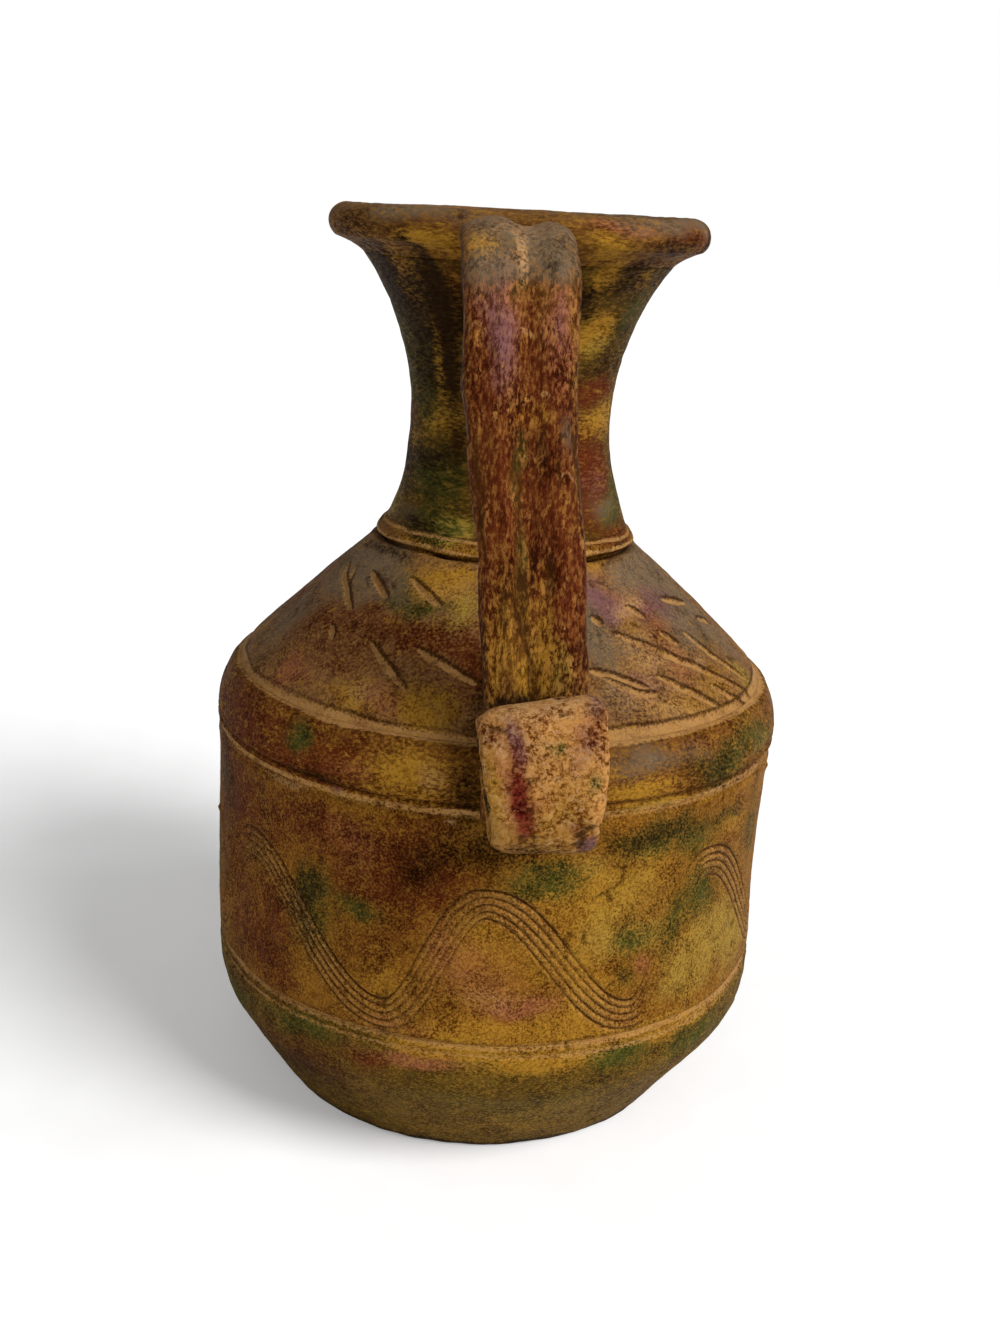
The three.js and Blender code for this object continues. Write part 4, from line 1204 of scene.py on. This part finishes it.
class Wall:
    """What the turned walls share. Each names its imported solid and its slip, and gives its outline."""

    node = slot = slip_name = ""
    steps = 600
    row_heights = None

    def execute(self, context):
        side = Side()
        rows, inside = self.outline(side, side.sizes)
        outline = np.vstack([np.column_stack([side.radius(rows), rows]), np.array(inside, float)])
        piece = turn_outline(skin_name(self.node), outline, self.steps)
        finish_wall(piece, outline, len(rows), side, self.row_heights)
        seat_piece(piece, self.node, slip(self.slip_name))
        return {"FINISHED"}


class VASE_OT_base_disc(Wall, bpy.types.Operator):
    """Turns the base disc, with its flat standing face"""

    bl_idname = "vase.base_disc"
    bl_label = "Base disc"
    node = "base_disc"
    slot = "lower_slip"
    slip_name = "FootSlip"
    steps = 360

    def outline(self, side, s):
        spigot = side.radius(WALL_FOOT) - side.taper_wall - s.lute
        foot = s.foot_radius - s.foot_edge
        inside = [(spigot, WALL_FOOT), (spigot, FLOOR_TOP), (0, FLOOR_TOP), (0, 0), (foot, 0)]
        return heights_between(0.05, WALL_FOOT, 0.5), inside


class VASE_OT_lower_wall(Wall, bpy.types.Operator):
    """Turns the tapered lower wall up to the seam under the belly"""

    bl_idname = "vase.lower_wall"
    bl_label = "Lower wall"
    node = "lower_wall"
    slot = "lower_slip"
    slip_name = "LowerSlip"

    def outline(self, side, s):
        lap = BELLY_R - s.wall / 2
        inner = BELLY_R - s.wall
        inside = [(lap, LOWER_SEAM), (lap, LOWER_LAP), (inner, LOWER_LAP), (inner, 42)]
        inside += [(side.radius(z) - side.taper_wall, z) for z in (30, 18, WALL_FOOT)]
        return heights_between(WALL_FOOT, LOWER_SEAM, 0.6), inside


class VASE_OT_belly_wall(Wall, bpy.types.Operator):
    """Turns the belly and draws the combed wave, with the mesh's rows following the comb"""

    bl_idname = "vase.belly_wall"
    bl_label = "Belly wall"
    node = "belly_wall"
    slot = "belly_slip"
    slip_name = "BellySlip"

    rows_below = 34
    rows_combed = 42
    rows_above = 40

    def row_heights(self, rows, azimuth):
        """Rows run level at the seams and along the comb's path between them."""
        half = 2.7 * sizes().comb_pitch
        middle, slope = wave_height(azimuth)
        room = np.minimum(middle - LOWER_SEAM, BAND_SEAM - middle) - 0.5
        reach = np.minimum(half * np.hypot(1, slope), room)
        low = LOWER_SEAM + (middle - reach - LOWER_SEAM) * rows / self.rows_below
        comb = middle + reach * (2 * (rows - self.rows_below) / self.rows_combed - 1)
        top = self.rows_below + self.rows_combed
        high = middle + reach + (BAND_SEAM - middle - reach) * (rows - top) / self.rows_above
        return np.where(rows < self.rows_below, low, np.where(rows < top, comb, high))

    def outline(self, side, s):
        lap = BELLY_R - s.wall / 2 + s.lute
        lap_z = LOWER_LAP + s.lute
        ledge = BAND_R - s.band_thickness
        inner = BELLY_R - s.wall
        inside = [
            (ledge, BAND_SEAM), (ledge, BELLY_TOP), (inner, BELLY_TOP), (inner, 90), (inner, 70),
            (inner, lap_z), (lap, lap_z), (lap, LOWER_SEAM),
        ]
        count = self.rows_below + self.rows_combed + self.rows_above + 1
        return np.linspace(LOWER_SEAM, BAND_SEAM, count), inside


class VASE_OT_shoulder_band(Wall, bpy.types.Operator):
    """Turns the applied band round the shoulder's edge"""

    bl_idname = "vase.shoulder_band"
    bl_label = "Shoulder band"
    node = "shoulder_band"
    slot = "band_slip"
    slip_name = "BandSlip"

    def outline(self, side, s):
        under = arc(side.bend_centre, s.shoulder_bend - s.band_thickness + s.lute, 45, 0, 6)
        return heights_between(BAND_SEAM, band_top(s), 0.45), [*under, (under[-1][0], BAND_SEAM)]


class VASE_OT_shoulder_wall(Wall, bpy.types.Operator):
    """Turns the sloping shoulder and cuts its strokes"""

    bl_idname = "vase.shoulder_wall"
    bl_label = "Shoulder wall"
    node = "shoulder_wall"
    slot = "shoulder_slip"
    slip_name = "ShoulderSlip"
    steps = 780

    def outline(self, side, s):
        depth = BAND_R - BELLY_R + s.wall
        inside = [
            (side.neck(NECK_SEAM, s.wall), NECK_SEAM),
            *((side.radius(z) - depth * 1.3, z - 1) for z in (160, 150, 140)),
            *arc(side.bend_centre, s.shoulder_bend - depth, 45, 0, 5),
            *arc(side.bend_centre, s.shoulder_bend - s.band_thickness, 0, 45, 6),
        ]
        return heights_between(band_top(s), NECK_SEAM, 0.375), inside


class VASE_OT_neck_ring(Wall, bpy.types.Operator):
    """Turns the ring at the foot of the neck"""

    bl_idname = "vase.neck_ring"
    bl_label = "Neck ring"
    node = "neck_ring"
    slot = "neck_slip"
    slip_name = "RingSlip"
    steps = 420

    def outline(self, side, s):
        inside = [(side.ring_seat, RING_TOP), (side.ring_seat, NECK_SEAM)]
        return heights_between(NECK_SEAM, RING_TOP, 0.3), inside


class VASE_OT_neck_wall(Wall, bpy.types.Operator):
    """Turns the flaring neck"""

    bl_idname = "vase.neck_wall"
    bl_label = "Neck wall"
    node = "neck_wall"
    slot = "neck_slip"
    slip_name = "NeckSlip"
    steps = 420

    def outline(self, side, s):
        seat = side.ring_seat - s.lute
        lap_z = LIP_LAP - s.lute
        inside = [(side.lip_lap, LIP_SEAM), (side.lip_lap, lap_z)]
        inside += [(side.neck(z, s.wall), z) for z in np.linspace(lap_z, NECK_SEAM, 24)]
        inside += [(seat, NECK_SEAM), (seat, RING_TOP)]
        return heights_between(RING_TOP, LIP_SEAM, 0.7), inside


class VASE_OT_rim_coil(bpy.types.Operator):
    """Turns the rolled lip"""

    bl_idname = "vase.rim_coil"
    bl_label = "Rim coil"

    def execute(self, context):
        side = Side()
        skin, seat = self.outline(side, side.sizes)
        outline = np.vstack([skin, seat])
        piece = turn_outline("RimCoilSkin", outline, 480)
        self.finish(piece, outline, len(skin), side)
        seat_piece(piece, "rim_coil", slip("RimSlip"))
        return {"FINISHED"}

    def outline(self, side, s):
        """The lip's skin from the flare over its edge into the mouth, and its seat on the neck."""
        edge = arc((LIP_R - s.lip_rounding, TOP - s.lip_rounding), s.lip_rounding, -50, 105, 34)
        under = np.array([side.neck(LIP_SEAM), LIP_SEAM])
        flare = eased(under, under + (edge[0] - under) * 0.42 + np.array([-0.3, 0.9]), edge[0], 14)
        mouth_z = TOP - s.lip_rounding / 2
        mouth = np.array([side.neck(mouth_z, s.wall), mouth_z])
        roll_in = eased(edge[-1], np.array([edge[-1][0] - 3, TOP - 0.6]), mouth, 10)
        throat = [(side.neck(z, s.wall), z) for z in np.linspace(mouth_z - 1, LIP_LAP, 10)]
        lap = side.lip_lap - s.lute
        return np.vstack([flare, edge[1:], roll_in[1:], throat]), [(lap, LIP_LAP), (lap, LIP_SEAM)]

    def finish(self, piece, outline, skin_rows, side):
        """The lip's skin turns over, so its outward direction comes from its own outline."""
        points = points_of(piece)
        rows = outline_rows(points, outline)
        run = np.gradient(outline[:skin_rows], axis=0)
        out = np.column_stack([run[:, 1], -run[:, 0]]) / np.hypot(run[:, 0], run[:, 1])[:, None]
        azimuth = azimuth_of(points)
        radius = np.hypot(points[:, 0], points[:, 1])
        height, fields = paint_wall(azimuth, radius, points[:, 2], side)
        height *= rows < skin_rows
        at = np.clip(rows, 0, skin_rows - 1)
        places = on_wall(azimuth, radius + height * out[at, 0], points[:, 2] + height * out[at, 1])
        move_points(piece, swayed(places))
        fields["inside"] = smooth_step(-(radius - side.neck(TOP - 3, side.sizes.wall)), 0, 3)
        write_fields(piece, fields)


def roll_strip(name, around, along):
    """A closed strip of clay: a round bar, cut into rows along its length in two goes."""
    clear_selection()
    bpy.ops.mesh.primitive_cylinder_add(vertices=around, radius=1, depth=2, end_fill_type="NGON")
    piece = name_piece(name)
    for parts in (along // 3, 3):
        select_lengthwise(piece)
        bpy.ops.object.mode_set(mode="EDIT")
        bpy.ops.mesh.subdivide(number_cuts=parts - 1)
        bpy.ops.mesh.select_mode(type="VERT")
        bpy.ops.object.mode_set(mode="OBJECT")
    bpy.ops.object.shade_smooth()
    points = points_of(piece) * MM
    return piece, np.arctan2(points[:, 1], points[:, 0]), (points[:, 2] + 1) / 2


def select_lengthwise(piece):
    """Selects the edges that run along an upright bar."""
    bpy.ops.object.mode_set(mode="EDIT")
    bpy.ops.mesh.select_mode(type="EDGE")
    bpy.ops.mesh.select_all(action="DESELECT")
    bpy.ops.object.mode_set(mode="OBJECT")
    heights = points_of(piece)[:, 2] * MM
    for edge in piece.data.edges:
        low, high = edge.vertices
        edge.select = abs(heights[high] - heights[low]) > 0.001


def squared(value, squareness):
    """A sine or cosine pushed out towards a square. A squareness of 2 leaves it as it is."""
    return np.sign(value) * np.abs(value) ** (2 / squareness)


def rounded(share, least):
    """A quarter round: from the least thickness to the full one while the share goes from 0 to 1."""
    return np.sqrt(np.clip(1 - (1 - np.clip(share, 0, 1)) ** 2, least, 1))


def along_line(line, share):
    """Places on a line of (radius, height) points and the directions along it, at shares of its length."""
    spots = np.linspace(0, 1, len(line))
    run = np.gradient(line, axis=0)
    run /= np.hypot(run[:, 0], run[:, 1])[:, None]
    place = np.column_stack([np.interp(share, spots, line[:, i]) for i in (0, 1)])
    ahead = np.column_stack([np.interp(share, spots, run[:, i]) for i in (0, 1)])
    return place, ahead / np.hypot(ahead[:, 0], ahead[:, 1])[:, None]


def handle_drift(z, s):
    """How far aside the handle stands at each height."""
    bend = TOP - s.strap_drop - s.strap_thickness / 2 - s.strap_bend
    return s.handle_drift * smooth_step(z, band_top(s), bend)


def to_handle(across, radius, z, turn):
    """Places on the front handle, or on the back one, which is the front one turned half round."""
    return np.column_stack([turn * across, -turn * radius, z])


def strap_line(s):
    """Middle of the strap from inside the lip to below its scroll."""
    level = TOP - s.strap_drop - s.strap_thickness / 2
    centre = (s.strap_reach - s.strap_bend, level - s.strap_bend)
    foot = BAND_R - s.strap_bite + s.strap_thickness / 2
    shoulder = band_top(s)
    halfway = ((s.strap_reach + foot) / 2 + s.strap_bow, (centre[1] + shoulder) / 2)
    knots = [(LIP_R - 4, level - 0.4), *arc(centre, s.strap_bend, 90, 0, 4), halfway]
    knots += [(foot, shoulder - s.band_straight), (foot, BAND_SEAM - 1)]
    return smooth_line(knots, 240)


class VASE_OT_handle_straps(bpy.types.Operator):
    """Pulls the two strap handles, with a finger groove along each"""

    bl_idname = "vase.handle_straps"
    bl_label = "Handle straps"

    def execute(self, context):
        material = slip("StrapSlip")
        for name, turn in HANDLE_SIDES:
            self.pull(name, turn, material)
        return {"FINISHED"}

    def marks(self, place, across, z, outer):
        """Height of the pulled clay's lumps, its curls and pits from 0 to 1, its streaks from -1 to 1."""
        low, high = STREAKS_FADE
        streak = clay_noise(place * np.array([1, 1, 0.07]), 2.0, 41) * smooth_step(-z, -high, -low)
        pits = smooth_step(clay_noise(place * np.array([1, 1, 0.6]), 1.7, 44), 0.55, 0.85)
        curl = np.zeros(len(z))
        for a, level, half_width in STRAP_CURLS:
            away = np.hypot(across - a, (z - level) * 0.8) + 0.3 * streak
            upper = smooth_step(z - level, -0.8 * half_width, 0.5 * half_width)
            curl = np.maximum(curl, outer * upper * bump(away - half_width, CURL_WIDTH))
        lump = lumps(place, STRAP_LUMPS) + 0.36 * streak - 0.3 * pits + CURL_HEIGHT * curl
        return lump, curl, pits, streak

    def pull(self, name, turn, material):
        s = sizes()
        node = f"handle_strap_{name}"
        piece, angle, share = roll_strip(skin_name(node), STRAP_AROUND, STRAP_ROWS)
        middle, ahead = along_line(strap_line(s), share)
        z = middle[:, 1]
        drop = np.clip((TOP - z) / (TOP - BAND_SEAM), 0, 1)
        width = s.strap_top_width + (s.strap_foot_width - s.strap_top_width) * drop
        width *= 1 - 0.13 * smooth_step(-middle[:, 0], -s.strap_reach + s.strap_bend, -LIP_R + 3)
        across = 0.5 * width * squared(np.cos(angle), STRAP_SQUARENESS)
        out = 0.5 * s.strap_thickness * squared(np.sin(angle), STRAP_SQUARENESS)
        outer = smooth_step(out, 0, 0.4 * s.strap_thickness)
        valley_at = 1.2 + 1.2 * np.sin(z / 31)
        out -= outer * s.strap_valley * bump(across - valley_at, VALLEY_WIDTH)
        out += outer * 0.35 * s.strap_valley * bump(np.abs(across - valley_at) - RIDGE_AWAY, RIDGE_WIDTH)
        place = to_handle(across, middle[:, 0] + out, z, turn)
        lump, curl, pits, streak = self.marks(place, across, z, outer)
        tip = rounded((1 - share) * STRAP_ROWS / STRAP_END_ROWS, 0.01)
        across = (across + lump * np.cos(angle)) * (0.8 + 0.2 * tip)
        back = -0.5 * s.strap_thickness
        out = back + (out + lump * np.sin(angle) - back) * tip
        radius = middle[:, 0] - ahead[:, 1] * out
        height = z + ahead[:, 0] * out
        drift = handle_drift(height, s)
        move_points(piece, swayed(to_handle(across + drift, radius, height, turn)))
        fields = wash_fields((STRAP_DABS,), lambda a: across - a, height, place)
        # worn here is the strap's back and edges, away from its outer face. They get oxblood slip and soot,
        # and the soot is partly painted shade where the strap faces the neck and partly dark wash.
        worn = 1 - outer
        fields["oxblood"] = np.maximum(fields["oxblood"], 0.75 * worn)
        fields["soot"] = np.maximum(fields["soot"], 0.45 * worn)
        fields["cut"] = 0.45 * curl
        fields["brow"] = np.clip(0.5 * pits + 0.8 * smooth_step(-streak, 0.2, 0.7), 0, 1)
        fields["inside"] = np.zeros(len(z))
        write_fields(piece, fields)
        seat_piece(piece, node, material)


def scroll_line(s):
    """The rolled strip's middle: from the strap down, round the front and over, and tucked in."""
    pitch = s.scroll_strip + s.scroll_gap
    back = BAND_R - s.strap_bite + s.strap_thickness - s.scroll_bite
    half_depth = (s.scroll_depth + pitch / 2) / 2
    half_height = (s.scroll_height + pitch) / 2
    middle_z = BAND_SEAM + s.scroll_rise - pitch / 4
    turn = np.linspace(*ROLL_TURNS, 400)
    angle = math.pi + 2 * math.pi * turn
    shrink = s.scroll_strip / 2 + pitch * turn
    radius = back + half_depth + (half_depth - shrink) * squared(np.cos(angle), ROLL_SQUARENESS)
    height = middle_z + (half_height - shrink) * squared(np.sin(angle), ROLL_SQUARENESS)
    return evenly(np.column_stack([radius, height]), 200)


class VASE_OT_handle_scrolls(bpy.types.Operator):
    """Rolls the scroll at the foot of each handle"""

    bl_idname = "vase.handle_scrolls"
    bl_label = "Handle scrolls"

    def execute(self, context):
        material = slip("ScrollSlip")
        for name, turn in HANDLE_SIDES:
            self.roll(name, turn, material)
        return {"FINISHED"}

    def roll(self, name, turn, material):
        s = sizes()
        node = f"handle_scroll_{name}"
        piece, angle, share = roll_strip(skin_name(node), SCROLL_AROUND, SCROLL_ROWS)
        middle, ahead = along_line(scroll_line(s), share)
        tip = rounded(np.minimum(share, 1 - share) * SCROLL_ROWS / SCROLL_END_ROWS, 0.02)
        across = 0.5 * s.scroll_width * squared(np.cos(angle), STRIP_SQUARENESS[0]) * (0.94 + 0.06 * tip)
        out = 0.5 * s.scroll_strip * squared(np.sin(angle), STRIP_SQUARENESS[1]) * tip
        place = to_handle(across, middle[:, 0] + ahead[:, 1] * out, middle[:, 1] - ahead[:, 0] * out, turn)
        pits = smooth_step(clay_noise(place, 2.4, 54), 0.55, 0.8)
        lump = lumps(place, SCROLL_LUMPS) - 0.45 * pits
        across = across + lump * np.cos(angle)
        out = out + lump * np.sin(angle) * tip
        smeared = rounded(share * SCROLL_ROWS / SCROLL_SMEAR_ROWS, 0.03)
        out = 0.5 * s.scroll_strip + (out - 0.5 * s.scroll_strip) * smeared
        radius = middle[:, 0] + ahead[:, 1] * out
        height = middle[:, 1] - ahead[:, 0] * out
        rise = (height - BAND_SEAM - s.scroll_rise) / s.scroll_height
        drawn = across * (1 - s.scroll_narrowing / s.scroll_width * smooth_step(-rise, -0.2, 0.5))
        drawn += s.scroll_aside + handle_drift(height, s) - s.scroll_lean * rise
        tilt = s.scroll_tilt / s.scroll_width * smooth_step(rise, -0.35, 0.4)
        move_points(piece, swayed(to_handle(drawn, radius, height + tilt * across, turn)))
        fields = wash_fields((SCROLL_DABS,), lambda a: across - a, height, place)
        # Soot over the roll's inner turns: painted shade inside the roll.
        tucked = smooth_step(share, 0.6, 0.68)
        fields["soot"] = np.maximum(fields["soot"], 0.7 * tucked)
        fields["cut"] = np.zeros(len(share))
        fields["brow"] = np.clip(0.95 * pits, 0, 1)
        fields["inside"] = np.zeros(len(share))
        write_fields(piece, fields)
        seat_piece(piece, node, material)


class VASE_OT_handle_wads(bpy.types.Operator):
    """Smooths the wads of clay that lute the handles to the pot"""

    bl_idname = "vase.handle_wads"
    bl_label = "Handle wads"

    def execute(self, context):
        material = slip("WadSlip")
        for place, inwards, lift, soot in WADS:
            for name, turn in HANDLE_SIDES:
                pressed = np.array([0, turn * inwards, lift])
                self.smooth(f"handle_{place}_wad_{name}", material, pressed, soot)
        return {"FINISHED"}

    def smooth(self, node, material, pressed, soot):
        """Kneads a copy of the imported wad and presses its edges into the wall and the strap."""
        clear_selection()
        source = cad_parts[node]
        source.select_set(True)
        bpy.context.view_layer.objects.active = source
        bpy.ops.object.duplicate()
        piece = name_piece(skin_name(node))
        piece.parent = None
        for key in list(piece.keys()):
            del piece[key]
        edit_all()
        bpy.ops.mesh.remove_doubles(threshold=WELD)
        bpy.ops.object.mode_set(mode="OBJECT")
        remesh = piece.modifiers.new("Knead", "REMESH")
        remesh.mode = "VOXEL"
        remesh.voxel_size = WAD_VOXEL * MM
        bpy.ops.object.modifier_apply(modifier=remesh.name)
        smooth = piece.modifiers.new("Thumb", "SMOOTH")
        smooth.iterations = WAD_PASSES
        bpy.ops.object.modifier_apply(modifier=smooth.name)
        edit_all()
        bpy.ops.transform.shrink_fatten(value=WAD_SWELL * MM)
        bpy.ops.object.mode_set(mode="OBJECT")
        bpy.ops.object.shade_smooth()
        points = points_of(piece)
        middle = points[:, 0].mean()
        points[:, 0] = middle + WAD_WIDTH_LEFT * (points[:, 0] - middle)
        points += pressed + 0.5 * np.column_stack([clay_noise(points, 6, seed) for seed in (91, 92, 93)])
        move_points(piece, swayed(points))
        blank = np.zeros(len(points))
        fields = {name: blank for name in (*WASHES, "cut", "brow", "inside")}
        fields["oxblood"] = blank + 0.6
        # Soot over the whole wad: painted shade in the joint between strap and pot.
        fields["soot"] = blank + soot
        write_fields(piece, fields)
        seat_piece(piece, node, material)


class VASE_OT_seam_coils(bpy.types.Operator):
    """Gives the soft coils inside the seams their bare clay"""

    bl_idname = "vase.seam_coils"
    bl_label = "Seam coils"

    def execute(self, context):
        material = bare_clay("BareClay")
        for node in ("base_seam_coil", "belly_seam_coil", "shoulder_seam_coil"):
            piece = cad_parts[node]
            piece.data.materials.clear()
            piece.data.materials.append(material)
        return {"FINISHED"}


class VASE_OT_stage(bpy.types.Operator):
    """Sets the pale floor, the soft light and the camera"""

    bl_idname = "vase.stage"
    bl_label = "Stage"

    def execute(self, context):
        self.floor()
        self.world(context.scene)
        for lamp in LAMPS:
            self.lamp(*lamp)
        self.camera(context.scene)
        context.scene.view_settings.view_transform = "Standard"
        return {"FINISHED"}

    def floor(self):
        clear_selection()
        bpy.ops.mesh.primitive_plane_add(size=FLOOR_SIZE, location=(0, 0, 0))
        piece = name_piece("PaleFloor")
        material, nodes, sockets = new_material("PaleFloor")
        tone = nodes.ramp(nodes.noise(nodes.place(), 40), 0.3, 0.7, 0.9, 0.93)
        seen = nodes.add("ShaderNodeLightPath").outputs["Is Camera Ray"]
        finish_material(nodes, sockets, {
            "Base Color": nodes.add("ShaderNodeCombineColor", {0: tone, 1: tone, 2: tone}).outputs[0],
            "Roughness": 0.9,
            "Specular IOR Level": 0.0,
            "Emission Color": WHITE,
            "Emission Strength": nodes.times(seen, FLOOR_GLOW),
        })
        piece.data.materials.append(material)

    def world(self, scene):
        world = bpy.data.worlds.new("SoftRoom")
        world.use_nodes = True
        nodes = Nodes(world.node_tree)
        seen = nodes.add("ShaderNodeLightPath").outputs["Is Camera Ray"]
        background = world.node_tree.nodes["Background"].inputs
        strength = nodes.ramp(seen, 0, 1, ROOM_GLOW, 1.0)
        finish_material(nodes, background, {"Color": WHITE, "Strength": strength})
        scene.world = world

    def lamp(self, name, place, strength, softness):
        """A far soft light, which lights the floor evenly."""
        clear_selection()
        bpy.ops.object.light_add(type="SUN", location=place)
        lamp = name_piece(name)
        lamp.data.energy = strength
        lamp.data.angle = math.radians(softness)
        aim = Vector(LAMP_AIM) - Vector(place)
        lamp.rotation_euler = aim.to_track_quat("-Z", "Y").to_euler()

    def camera(self, scene):
        """The photograph's place: near, a little left of the front handle, looking down and tilted."""
        yaw, tilt, roll = (math.radians(turn) for turn in (CAMERA_YAW, CAMERA_TILT, CAMERA_ROLL))
        level = Vector((-math.sin(yaw), math.cos(yaw), 0))
        beside = Vector((math.cos(yaw), math.sin(yaw), 0))
        up = Vector((0, 0, 1))
        sight = level * math.cos(tilt) - up * math.sin(tilt)
        head = level * math.sin(tilt) + up * math.cos(tilt)
        right = beside * math.cos(roll) + head * math.sin(roll)
        crown = head * math.cos(roll) - beside * math.sin(roll)
        bpy.ops.object.camera_add()
        camera = name_piece("PhotoCamera")
        turned = Matrix((right, crown, -sight)).transposed().to_4x4()
        camera.matrix_world = Matrix.Translation(CAMERA_PLACE) @ turned
        camera.data.sensor_fit = "VERTICAL"
        camera.data.sensor_height = CAMERA_SENSOR
        camera.data.lens = CAMERA_LENS
        camera.data.clip_start = 0.01
        scene.camera = camera


PIECES = (
    VASE_OT_base_disc, VASE_OT_lower_wall, VASE_OT_belly_wall, VASE_OT_shoulder_band, VASE_OT_shoulder_wall,
    VASE_OT_neck_ring, VASE_OT_neck_wall, VASE_OT_rim_coil, VASE_OT_handle_straps, VASE_OT_handle_scrolls,
    VASE_OT_handle_wads, VASE_OT_seam_coils, VASE_OT_stage,
)


class VASE_PT_workshop(bpy.types.Panel):
    """Lists the vase's pieces, sizes and colours"""

    bl_idname = "VASE_PT_workshop"
    bl_label = "Two-handled vase"
    bl_space_type = "VIEW_3D"
    bl_region_type = "UI"
    bl_category = "Vase"

    def draw(self, context):
        for piece in PIECES:
            self.layout.operator(piece.bl_idname)
        for title, group in (("Sizes", context.scene.vase_sizes), ("Colours", context.scene.vase_colours)):
            box = self.layout.box()
            box.label(text=title)
            for name in type(group).__annotations__:
                box.prop(group, name)


CLASSES = (VaseSizes, VaseColours, *PIECES, VASE_PT_workshop)


def register():
    for item in CLASSES:
        bpy.utils.register_class(item)
    bpy.types.Scene.vase_sizes = PointerProperty(type=VaseSizes)
    bpy.types.Scene.vase_colours = PointerProperty(type=VaseColours)


def unregister():
    del bpy.types.Scene.vase_colours
    del bpy.types.Scene.vase_sizes
    for item in reversed(CLASSES):
        bpy.utils.unregister_class(item)


def main():
    register()
    for piece in PIECES:
        getattr(bpy.ops.vase, piece.bl_idname.split(".")[1])()


if __name__ == "__main__":
    main()
